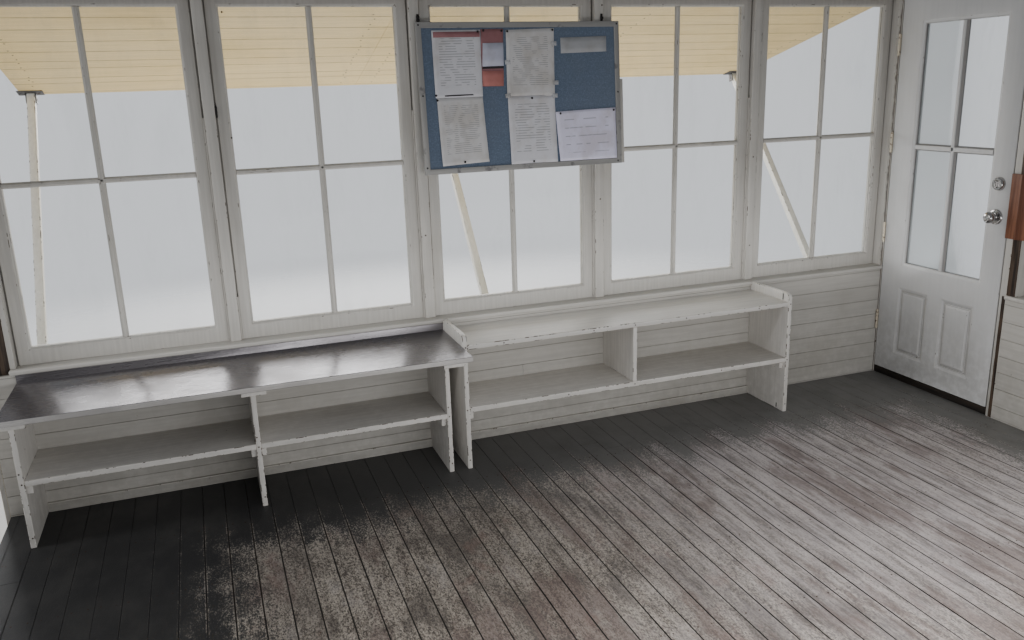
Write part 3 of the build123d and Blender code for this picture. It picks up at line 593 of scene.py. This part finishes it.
def blocks(name, boxes, finish, slot, width=0.0, edge=None, steps=2, body="cab", node=None,
           **how):
    """Planks as one piece, with eased edges if the width is over 0. Only those that stand for a
    CAD node keep their marks."""
    points, faces, marks = planks(*np.swapaxes(boxes, 0, 1), **how)
    piece = show(name, points, faces, finish, slot, body, node, **(marks if node else {}))
    if width:
        ease(piece, width, edge, steps)


def heads(name, centres, axis, radius, proud, finish="nail", slot="iron"):
    """Nail or screw heads: low domes on a short neck sunk in the wood."""
    profile = ((-0.004, radius * 0.55), (0.0, radius), (proud * 0.5, radius * 0.92),
               (proud, radius * 0.5))
    points, faces = spun(profile, centres, axis, 8)
    show(name, points, faces, finish, slot, round_under=40)


def softened(node, width, finish, edge, body="cab", angle=30):
    """Stands for a CAD node: its mesh, merged and freed of flat inner edges, with eased ones."""
    name = node + "_eased"
    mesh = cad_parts[node].data.copy()
    mesh.name = name
    form = bmesh.new()
    form.from_mesh(mesh)
    bmesh.ops.remove_doubles(form, verts=form.verts, dist=2e-5)
    bmesh.ops.dissolve_limit(form, angle_limit=math.radians(0.5), verts=form.verts,
                             edges=form.edges)
    form.to_mesh(mesh)
    form.free()
    ease(carry(bpy.data.objects.new(name, mesh), finish, body, node), width, edge,
         angle=angle)


def floor_planks():
    """Narrow boards along Y; every row has one butt joint at a random place."""
    pitch, first, gap, butt, uneven = 0.0875, -1.404, 0.0004, 0.0015, 0.0009
    draw = np.random.default_rng(11)
    seams = first + pitch * np.arange(-10, 43) + draw.uniform(-0.0015, 0.0015, 53)
    seams = np.unique(np.clip(seams, DECK[0][0], DECK[1][0]))
    left, right = seams[:-1], seams[1:] - gap
    right[-1] = seams[-1]
    joint = draw.uniform(-2.35, -0.3, len(left))
    low_y, high_y, under = (np.full_like(left, edge)
                            for edge in (DECK[0][1], DECK[1][1], DECK[0][2]))
    lows = np.concatenate((np.stack((left, low_y, under), 1),
                           np.stack((left, joint + butt, under), 1)))
    top = FLOOR - draw.uniform(0.0, uneven, 2 * len(left))
    highs = np.stack((np.tile(right, 2), np.concatenate((joint, high_y)), top), 1)
    blocks("floor_planks", np.stack((lows, highs), 1), "floor", "floor_boards", 0.0005, steps=1,
           node="floor_deck", along=1, stations=9, wander=0.018, seed=3)
    joist_half, joist_pitch = 0.019, 0.42075
    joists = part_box("floor_joists")[0][1] + joist_half + np.arange(6) * joist_pitch
    pair = np.array((-0.024, 0.024))
    x = ((left + right) / 2)[:, None, None] + pair[None, None, :] + 0 * joists[None, :, None]
    y = joists[None, :, None] + draw.uniform(-0.006, 0.006, x.shape)
    spots = np.stack((x, y, np.full(x.shape, FLOOR - 0.0006)), -1).reshape(-1, 3)
    heads("floor_nails", spots, Z, 0.0032, 0.0005)


def wall_rows(seams, low, high, along, near, joints):
    """Corners of rows of boards up a wall; each row runs from low to high with one joint."""
    rows, gap = len(seams) - 1, 0.0005
    lows, highs = np.zeros((2 * rows, 3)), np.zeros((2 * rows, 3))
    lows[:, 2], highs[:, 2] = np.tile(seams[:-1] + gap / 2, 2), np.tile(seams[1:] - gap / 2, 2)
    lows[:, 1 - along], highs[:, 1 - along] = near, near + BOARD
    lows[:, along] = np.concatenate((np.full(rows, low), joints + gap / 2))
    highs[:, along] = np.concatenate((joints - gap / 2, np.full(rows, high)))
    return np.stack((lows, highs), 1)


def boarded_walls():
    """Level boards on both sides of the knee walls, with joints and nails on the studs."""
    draw, inset, end = np.random.default_rng(21), 0.018, 0.02
    inner = np.array((FLOOR, 0.167, 0.249, 0.331, 0.413, 0.495, 0.577, 0.659, 0.741,
                      SILL_BOTTOM))
    beside = np.array((FLOOR, 0.167, 0.2265, 0.3125, 0.395, 0.474, 0.5595, 0.643, 0.727,
                       SILL_BOTTOM))
    outer = np.linspace(CLADDING[0][2], CLADDING[1][2], 7)
    studs_along = (np.arange(-4, 5) * BAY / 2, SIDE[0][1] + BOARD + np.arange(4) * BAY / 2)
    kinds = {
        "lining": ("wainscot", -1, "room_paint", 0.0016, None, "room_z"),
        "siding": ("siding", 1, "outer_paint", 0.004, "outer_edge", "nail"),
    }
    for kind, wall, seams, low, high, near in (
        ("lining", "window", inner, CLADDING[0][0], ROOM_HALF, WALL[0][1] - BOARD),
        ("lining", "side", beside, SIDE[0][1], LOCK_POST, ROOM_HALF),
        ("siding", "window", outer, CLADDING[0][0], WALL[1][0], CLADDING[1][1] - BOARD),
        ("siding", "side", outer, SIDE[0][1], LOCK_POST, WALL[1][0]),
    ):
        node, facing, slot, width, edge, nail = kinds[kind]
        along = ("window", "side").index(wall)
        studs = studs_along[along]
        name = f"{kind}_boards_{wall}"
        joints = studs[draw.integers(1, len(studs) - 1, len(seams) - 1)]
        blocks(name, wall_rows(seams, low, high, along, near, joints),
               f"{kind}_{'xy'[along]}", slot, width, edge, node=node, along=along, stations=7,
               wander=0.012, seed=31 + len(name))
        level = np.concatenate((seams[:-1] + inset, seams[1:] - inset))[:, None] + 0 * studs
        spots = np.zeros((*level.shape, 3))
        spots[..., 2] = level
        spots[..., along] = studs + draw.uniform(-0.005, 0.005, level.shape)
        spots[..., 1 - along] = near if facing < 0 else near + BOARD
        seen = (level > seams[0] + end) & (level < seams[-1] - end)
        heads(f"{kind}_nails_{wall}", spots[seen], facing * (Y, X)[along], 0.0035, 0.0006, nail,
              slot)


# The storm shutters slope down from their root over the windows.

DROP = math.radians(14.6)
ROOT = np.array((0.0, 0.075, 2.175))
SLOPE = np.array(((1, 0, 0), (0, math.cos(DROP), math.sin(DROP)),
                  (0, -math.sin(DROP), math.cos(DROP))))
SHUTTERS = (("shutter_left", -2.16, -0.4303, (-2.07, -0.52)),
            ("shutter_right", -0.4297, 2.193, (-0.34, 0.8815, 2.103)))


def on_slope(spots):
    """Places on the shutters: root + x across + y down the slope + z off it."""
    return np.array(spots, float) @ SLOPE.T + ROOT


def shutter_boards():
    """Boards along X, between the joints seen from below, with two nails at each batten."""
    seams = np.array((0.0, 0.142, 0.285, 0.43, 0.585, 0.73, 0.87, 0.98, 1.14, 1.235, 1.4, 1.432))
    gap, thick = 0.0006, 0.022
    for name, low, high, battens in SHUTTERS:
        boards = [((low, near + gap, 0.0), (high, far - gap, thick))
                  for near, far in zip(seams[:-1], seams[1:])]
        blocks(name + "_boards", boards, "shutter_x", "shutter_paint", 0.0015, node=name,
               along=0, origin=ROOT, turn=SLOPE, stations=9, wander=0.006, seed=len(name) + 40)
        reach = np.concatenate((seams[1:-2] + 0.03, seams[2:-1] - 0.03))
        x, out = np.meshgrid(np.array(battens), reach)
        strayed = np.random.default_rng(5).uniform(-0.01, 0.01, (x.size, 3)) * (1, 1, 0)
        spots = np.stack((x, out, 0 * x), -1).reshape(-1, 3) + strayed
        heads(name + "_nails", on_slope(spots), -SLOPE[:, 2], 0.0042, 0.0012)


def glazing_bars(name, places, size, level, bar, front, depths, body, finish, edge, slot):
    """The bars of a window: on each side of the glass an outline that narrows away from it,
    carried up and across. A place is the window's middle and its across and out directions; size
    is half its width, and its lowest and highest Z."""
    wide, low, high = size
    parts = []
    for centre, across, out in places:
        upright = (0, centre + low * Z, centre + high * Z, across)
        cross = (1, centre - wide * across + level * Z, centre + wide * across + level * Z, Z)
        for near, far in depths:
            for which, foot, head, side in (upright, cross):
                half, tip = bar[which] / 2, front[which] / 2
                outline = np.array(((-half, near), (half, near), (tip, far), (-tip, far)))
                parts.append(carried(outline[None], foot, head, side, out))
    ease(show(name, *joined(*parts), finish, slot, body), 0.0012, edge)


def all_glazing_bars():
    """The same cross of bars in every sash, and a heavier one in the door's light."""
    windows = [(step * BAY * X, X, Y) for step in range(-2, 3)]
    windows += [(SIDE_SASHES * X + y * Y, -Y, X) for y in SIDE_WINDOWS]
    glazing_bars("window_bars", windows, (0.3478, 0.838, 2.1153), 1.4735, (0.027, 0.024),
                 (0.011, 0.01), ((0.016, 0.003), (0.019, 0.034)), "cab", "room_z", "room_edge",
                 "room_paint")
    door = [(ROOM_HALF * X - 0.4555 * Y, -Y, X)]
    glazing_bars("door_bars", door, (0.2345, 0.81, 2.016), 1.4165, (0.035, 0.036),
                 (0.014, 0.018), ((0.0185, 0.003), (0.0215, 0.037)), "door", "door_paint",
                 "door_edge", "door_paint")


def draught_strips():
    """Thin strips in the gaps beside the sashes: half-high on one side, short on the other."""
    strips = []
    for beside, tops in ((-0.0285, (1.697, 1.693, 1.702, 1.69)),
                         (0.0225, (0.958, 0.962, 0.955, 0.96))):
        for count, top in enumerate(tops):
            x = (count - 1.5) * BAY + beside
            strips.append(((x, -0.006, SILL_TOP), (x + 0.006, 0.02, top)))
    blocks("draught_strips", strips, "room_z", "room_paint", 0.001, "room_edge")


def outer_stops():
    """Thin stops behind the gaps round the sashes, which keep the light and the wind out."""
    gap, lap, half = SASH_GAP + 0.0004, 0.0002, (BAY - MULLION) / 2
    stops = []
    for middles, face, order in ((BAY * np.arange(-2, 3), 0.0, (0, 1, 2)),
                                 (SIDE_WINDOWS, SIDE_SASHES, (1, 0, 2))):
        for middle in middles:
            left, right = middle - half - lap, middle + half + lap - gap
            for low, high, foot in ((left, left + gap, SILL_TOP), (right, right + gap, SILL_TOP),
                                    (middle - half + gap, middle + half - gap, HEAD - 0.0049)):
                stop = np.array(((low, face + 0.02, foot), (high, face + 0.03, HEAD)))
                stops.append(stop[:, order])
    blocks("outer_stops", stops, "room_z", "room_paint")


def knob_outline():
    """A flat rose, a neck, and a knob whose radius is 27 mm by cos(u) to the power 0.55."""
    u = np.linspace(-1.2, 1.5, 22)
    ball = np.stack((0.0418 + 0.0182 * np.sin(u), 0.027 * np.cos(u) ** 0.55), 1)
    rose = ((0.0, 0.036), (0.004, 0.036), (0.0075, 0.0335), (0.009, 0.028))
    neck = ((0.009, 0.0135), (0.012, 0.011), (0.0205, 0.011))
    return np.concatenate((rose, neck, ball))


def lockset():
    """Knobs and bolt housings on both faces of the door, a thumb turn inside, a plug outside."""
    knob, bolt, y = 1.124, 1.277, -0.749
    outside = ROOM_HALF + LEAF_THICK
    housing = ((0.0, 0.032), (0.003, 0.032), (0.0165, 0.0275), (0.018, 0.0255), (0.018, 0.0165),
               (0.0165, 0.0155), (0.0165, 0.002))
    plug = ((0.016, 0.0082), (0.0178, 0.0082), (0.0182, 0.0076), (0.0182, 0.001))
    parts = []
    for face, out in ((ROOM_HALF, -X), (outside, X)):
        parts.append(spun(knob_outline(), (face, y, knob), out, 48))
        parts.append(spun(housing, (face, y, bolt), out, 48))
    parts.append(spun(plug, (outside, y, bolt), X, 32))
    show("lockset_bright", *joined(*parts), "chrome", "lock_steel", "door", "door_lockset",
         round_under=35)
    blocks("thumb_turn", [((ROOM_HALF - 0.0355, y - 0.004, bolt - 0.017),
                           (ROOM_HALF - 0.0155, y + 0.004, bolt + 0.017))],
           "chrome", "lock_steel", 0.003, steps=3, body="door", along=0)
    for name, body, edge, inset, half in (("latch_plates", "door", -0.8125, 0.008, 0.029),
                                          ("strike_plates", "cab", -0.8195, 0.004, 0.035)):
        plates = [((ROOM_HALF + inset, edge, z - half), (outside - inset, edge + 0.001, z + half))
                  for z in (knob, bolt)]
        blocks(name, plates, "brass", "hinge_brass", body=body)


# The notice board hangs on the mullions; its sheets are given as distances in millimetres from
# the middle of its top edge.

LEAN = math.radians(3.4)
BOARD_TOP = np.array((0.0445, -0.022, 2.049))
BOARD_DOWN = np.array((0.0, -math.sin(LEAN), -math.cos(LEAN)))
BOARD_OUT = np.array((0.0, -math.cos(LEAN), math.sin(LEAN)))
PANEL_FACE, FRAME_FACE = 0.0131, 0.018
SHEETS = (
    ("sheet_1", ((-404, 34), (-188, 32), (-193, 310), (-405, 311)), "form", 0.0004, 0.004, 1),
    ("band", ((-398, 40), (-190, 39), (-191, 62), (-398, 63)), "brown", 0.0022, 0.0001, 2,
     (4, 3)),
    ("sheet_2", ((-399, 309), (-193, 310), (-181, 589), (-394, 598)), "plain", 0.0012, 0.009, 3),
    ("rule", ((-386, 300), (-208, 298), (-208, 303), (-386, 306)), "black", 0.0032, 0.0001, 2,
     (4, 3)),
    ("card", ((-186, 30), (-83, 29), (-94, 269), (-192, 268)), "brown", 0.0004, 0.001, 4),
    ("card_panel", ((-180, 88), (-86, 87), (-89, 184), (-187, 185)), "blue", 0.0024, 0.0001, 5,
     (4, 4)),
    ("card_rule", ((-187, 185), (-89, 184), (-90, 194), (-188, 195)), "black", 0.0026, 0.0001, 5,
     (4, 3)),
    ("card_block", ((-188, 204), (-90, 203), (-94, 268), (-191, 267)), "red", 0.0024, 0.0001, 5,
     (4, 4)),
    ("sheet_3", ((-71, 34), (154, 28), (146, 317), (-80, 313)), "plain", 0.0004, 0.003, 6),
    ("sheet_4", ((-77, 313), (145, 314), (148, 608), (-76, 608)), "form", 0.0014, 0.004, 7),
    ("sleeve", ((147, 388), (446, 379), (446, 607), (160, 607)), "sleeve", 0.0022, 0.003, 8),
    ("label", ((184, 69), (409, 64), (408, 131), (184, 136)), "label", 0.0006, 0.0006, 9,
     (8, 4)),
)
TAPES = ((150, 95), (153, 262), (-76, 312), (146, 318), (-71, 170))
TACKS = ((-402, 300), (-291, 585), (-175, 36), (-92, 38), (146, 36), (36, 324), (32, 600),
         (-66, 40), (-398, 320), (-200, 40), (170, 396), (436, 390))
SCREWS = ((-460, 12), (460, 12), (-462, 602), (452, 620), (-460, 300), (460, 310))


def on_board(spots, off):
    """Places on the notice board: top + x across + y down + off outwards."""
    spots = np.array(spots, float) / 1000
    return BOARD_TOP + spots[..., :1] * X + spots[..., 1:] * BOARD_DOWN + off * BOARD_OUT


def pinned(name, corners, finish, lift, curl, seed, steps=(14, 18)):
    """A thin sheet pinned at its top. Its corners are blended evenly:
    p(u, v) = (1-v)((1-u) a + u b) + v((1-u) d + u c). It stands off by lift +
    curl v^3 (2u-1)^2 + small ripples."""
    a, b, c, d = np.array(corners, float)
    u, v = (grid[..., None] for grid in np.meshgrid(*(np.linspace(0, 1, n) for n in steps)))
    flat = (1 - v) * ((1 - u) * a + u * b) + v * ((1 - u) * d + u * c)
    draw = np.random.default_rng(seed).uniform(0, 6.28, 3)
    ripple = 0.0005 * (1 + np.sin(9 * u + draw[0]) * np.sin(7 * v + draw[1]))
    ripple += 0.0006 * v * (1 + np.sin(14 * v + draw[2]))
    off = PANEL_FACE + lift + curl * v ** 3 * (2 * u - 1) ** 2 + ripple * min(1.0, curl / 0.002)
    points = on_board(flat, off)
    rows, columns = points.shape[:2]
    index = np.arange(rows * columns).reshape(rows, columns)
    faces = np.stack((index[:-1, :-1], index[1:, :-1], index[1:, 1:], index[:-1, 1:]), -1)
    sheet = show(name, points, faces.reshape(-1, 4).tolist(), finish, "notice_cloth",
                 round_under=80, across=2 * u - 1, down=v)
    solid = sheet.modifiers.new("thickness", "SOLIDIFY")
    solid.thickness, solid.offset = 0.0003, 1.0


def notices():
    """Pinned sheets and cards, bare or with plain lines, tapes, tacks and the frame's screws."""
    for name, corners, kind, *rest in SHEETS:
        pinned("notice_" + name, corners, "paper_" + kind, *rest)
    for count, (x, y) in enumerate(TAPES):
        corners = ((x - 14, y - 9), (x + 12, y - 11), (x + 13, y + 8), (x - 12, y + 9))
        pinned(f"notice_tape_{count + 1}", corners, "tape", 0.0052, 0.0001, 20 + count, (3, 3))
    tack = ((-0.003, 0.001), (0.0, 0.003), (0.002, 0.005), (0.004, 0.004), (0.0048, 0.0012))
    points, faces = spun(tack, on_board(TACKS, PANEL_FACE + 0.003), BOARD_OUT, 12)
    show("notice_tacks", points, faces, "black_iron", "iron", round_under=50)
    heads("board_screws", on_board(SCREWS, FRAME_FACE), BOARD_OUT, 0.004, 0.0012, "black_iron")


def small_iron():
    """Hooks of the notice board, sash fasteners in the gaps, and odd screws, nails and slots."""
    hook = ((-0.004, 0.0022), (0.004, 0.0022), (0.0042, 0.0075), (0.007, 0.0082),
            (0.0092, 0.006), (0.0098, 0.002))
    places = ((-0.4115, -0.022, 2.07), (0.438, -0.022, 2.064), (-0.4115, -0.022, 2.058))
    tabs = [planks((x - 0.005, -0.0275, 2.04), (x + 0.005, -0.0225, 2.082))[:2]
            for x in (-0.4115, 0.438)]
    hooks = joined(spun(hook, places, -Y, 14), *tabs)
    ease(show("board_hooks", *hooks, "black_iron", "iron"), 0.0008, steps=1)
    fasteners = [((x - 0.0045, -0.012, z - 0.023), (x + 0.0045, -0.0005, z + 0.023))
                 for x, z in ((-1.2535, 1.717), (1.3065, 1.973), (-0.4, 1.72), (0.4535, 1.715))]
    blocks("sash_fasteners", fasteners, "black_iron", "iron", 0.003, steps=3)
    screws = ((0.442, -0.022, 2.119), (-1.205, 0.0, 1.613), (-1.189, 0.0, 2.094),
              (-0.451, 0.0, 1.6), (0.43, -0.022, 1.25), (-0.43, -0.022, 1.15),
              (1.28, -0.022, 1.4), (1.28, -0.022, 0.95))
    heads("mullion_screws", screws, -Y, 0.0038, 0.0012)
    spots = [(x + dx, z) for x in (-2.095, -1.251, -0.459)
             for dx, z in ((-0.003, 0.461), (0.002, 0.2), (0.0, 0.419), (0.001, 0.65))]
    spots += [(x + dx, z) for x in (-0.375, 1.279)
              for dx, z in ((0.002, 0.716), (-0.002, 0.433), (0.0, 0.2), (0.003, 0.56))]
    spots += [(x, 0.716) for x in (-0.2, 0.227, 0.434, 0.7, 1.1)]
    spots += [(x, 0.433) for x in (0.1, 0.434, 0.9)]
    heads("bench_nails", [(x, BENCH_FRONT, z) for x, z in spots], -Y, 0.0033, 0.0008)
    slots = [((1.2678, y - 0.003, low), (1.2692, y + 0.003, high))
             for y, low, high in ((-0.33, 0.731, 0.762), (-0.32, 0.168, 0.19))]
    blocks("bench_end_slots", slots, "black_iron", "iron", 0.0006, steps=1)


def shutter_iron():
    """Bolts through the straps, and a pressed socket with screws round the head of each prop."""
    props, side, out, near = (-2.11, 0.02, 2.125), 0.0232, 1.407, 0.004
    cheeks = [((x - 0.0017, out - 0.024, -near - 0.052), (x + 0.0017, out + 0.014, -near))
              for prop in props for x in (prop - side, prop + side)]
    blocks("prop_sockets", cheeks, "iron", "iron", 0.0006, steps=1, origin=ROOT, turn=SLOPE)
    for name, way in (("prop_bolts", -1), ("prop_nuts", 1)):
        spots = [(x + way * (side + 0.0015), out - 0.006, -0.034) for x in props]
        heads(name, on_slope(spots), way * X, 0.006, 0.003, "iron")
    straps = (-2.0005, -0.5895, -0.2705, 0.951, 2.0335)
    spots = [(x, reach, 0.026) for x in straps for reach in (0.035, 0.08, 0.125)]
    heads("strap_bolts", on_slope(spots), SLOPE[:, 2], 0.008, 0.004, "iron")
    spots = [(x + dx, 1.385, -0.004) for x in props for dx in (-0.045, 0.045)]
    heads("plate_screws", on_slope(spots), -SLOPE[:, 2], 0.005, 0.0015, "black_iron")


for make in (floor_planks, boarded_walls, shutter_boards, all_glazing_bars, draught_strips,
             outer_stops, lockset, notices, small_iron, shutter_iron):
    make()

# CAD nodes with eased edges: finish, the edges' finish, slot, and each node's width of rounding.

for finish, edge, slot, widths in (
    ("room_x", "room_edge", "room_paint", {"window_sills": 0.002, "frieze_window": 0.002}),
    ("room_y", "room_edge", "room_paint", {"door_head": 0.002, "frieze_side": 0.002}),
    ("room_z", "room_edge", "room_paint", {"window_sashes": 0.0022, "mullions": 0.0025}),
    ("room_z", "room_edge", "prop_paint", {"notice_strip": 0.0015}),
    ("room_z", "outer_edge", "outer_paint", {"corner_boards": 0.002}),
    ("jamb_paint", "room_edge", "room_paint", {"door_jambs": 0.002}),
    ("base_paint", "room_edge", "room_paint", {"base_strips": 0.0025}),
    ("bench_x", "bench_edge", "bench_paint",
     {"counter_shelves": 0.0022, "bench_top": 0.003, "bench_shelf": 0.0022}),
    ("bench_y", "bench_edge", "bench_paint", {"counter_caps": 0.002, "shelf_cleats": 0.002}),
    ("bench_z", "bench_edge", "bench_paint",
     {"counter_panels": 0.0022, "bench_ends": 0.0025, "bench_divider": 0.0022}),
    ("raw_x", "raw_edge", "raw_timber", {"header_window": 0.003, "floor_joists": 0.003}),
    ("raw_y", "raw_edge", "raw_timber", {"header_side": 0.003, "floor_rims": 0.003}),
    ("raw_z", "raw_edge", "raw_timber", {"knee_frame": 0.003}),
    ("post_wood", "dark_edge", "dark_timber", {"wall_posts": 0.002}),
    ("threshold", "threshold", "dark_timber", {"threshold": 0.004}),
    ("block_wood", "block_wood", "block_wood", {"latch_block": 0.001}),
    ("steel", "steel", "counter_steel", {"counter_top": 0.0015}),
    ("frame_paint", "frame_paint", "notice_frame", {"notice_frame": 0.002}),
    ("shutter_y", "shutter_edge", "shutter_paint", {"shutter_battens": 0.0025}),
    ("prop_paint", "prop_edge", "prop_paint", {"shutter_props": 0.003, "prop_cleats": 0.003}),
    ("iron", "iron", "iron", {"prop_plates": 0.0008, "shutter_straps": 0.0008}),
):
    for node, width in widths.items():
        softened(node, width, finish, edge)
softened("door_leaf", 0.002, "door_paint", "door_edge", "door", 12)

for node, finish in (("window_glass", "glass"), ("door_glass", "glass"),
                     ("hinges_jamb", "brass"), ("hinges_leaf", "brass"),
                     ("notice_panel", "cloth")):
    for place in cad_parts[node].material_slots:
        place.material = FINISHES[finish]


# The plain stage: a pale floor that fades into a pale world, and broad soft lamps.

def make_stage():
    """A round floor whose paint fades out away from its middle, into the world's tone."""
    reach, sides = 14.0, 96
    mesh = bpy.data.meshes.new("studio_floor")
    turn = np.linspace(0.0, 2 * math.pi, sides, endpoint=False)
    rim = np.stack((reach * np.cos(turn), reach * np.sin(turn), 0 * turn), 1)
    mesh.from_pydata(rim.tolist(), [], [list(range(sides))])
    floor = bpy.data.objects.new("studio_floor", mesh)
    bpy.context.scene.collection.objects.link(floor)
    f = Finish("studio_pale", roughness=0.95)
    cloud = f.between(f.noise(0.4), 0.3, 0.7, 0.0, 0.1)
    f.set("Base Color", f.mix(cloud, (0.74, 0.745, 0.75), (0.72, 0.725, 0.73)))
    length = f.node("VectorMath", (0, f.place), operation="LENGTH")["Value"]
    f.set("Alpha", f.between(length, 2.8, 6.2, 1.0, 0.0))
    mesh.materials.append(f.material)


def make_air():
    """The world: a soft pale light, and one plain pale tone for what the camera sees of it."""
    world = bpy.context.scene.world = bpy.data.worlds.new("studio_air")
    air = Tree(world)
    rays = air.node("LightPath")
    seen = air.sum("MAXIMUM", rays["Is Camera Ray"], rays["Is Transmission Ray"])
    light = air.node("Background", ("Color", (0.95, 0.97, 1.0)), ("Strength", 0.235))[0]
    behind = air.node("Background", ("Color", (0.80, 0.83, 0.87)), ("Strength", 1.0))[0]
    both = air.node("MixShader", (0, seen), (1, light), (2, behind))[0]
    air.node("OutputWorld", (0, both))


def add_lamp(name, at, target, size, watts):
    """A broad soft lamp at a point, turned to face its target."""
    data = bpy.data.lights.new(name, "AREA")
    data.shape, data.size, data.size_y, data.energy = "RECTANGLE", size[0], size[1], watts
    lamp = bpy.data.objects.new(name, data)
    turn = (Vector(target) - Vector(at)).to_track_quat("-Z", "Y").to_matrix().to_4x4()
    lamp.matrix_world = Matrix.Translation(at) @ turn
    lamp.visible_camera = False
    bpy.context.scene.collection.objects.link(lamp)


make_stage()
make_air()
add_lamp("beyond_windows", (0.3, 5.2, 2.5), (0.1, -0.8, 0.5), (8.0, 2.6), 450)
add_lamp("under_shutters", (0.4, 1.7, 0.05), (0.4, 1.699, 2.0), (5.0, 1.2), 39)
add_lamp("room_low", (0.1, -2.4, 0.8), (0.1, -1.6, 0.0), (3.4, 0.5), 30)
add_lamp("room_left", (-4.6, -0.35, 2.1), (2.1, -0.6, 1.4), (0.7, 1.6), 45)
add_lamp("bench_glow", (0.0, -0.4, 0.81), (0.0, -0.1, 1.31), (4.1, 0.12), 5)
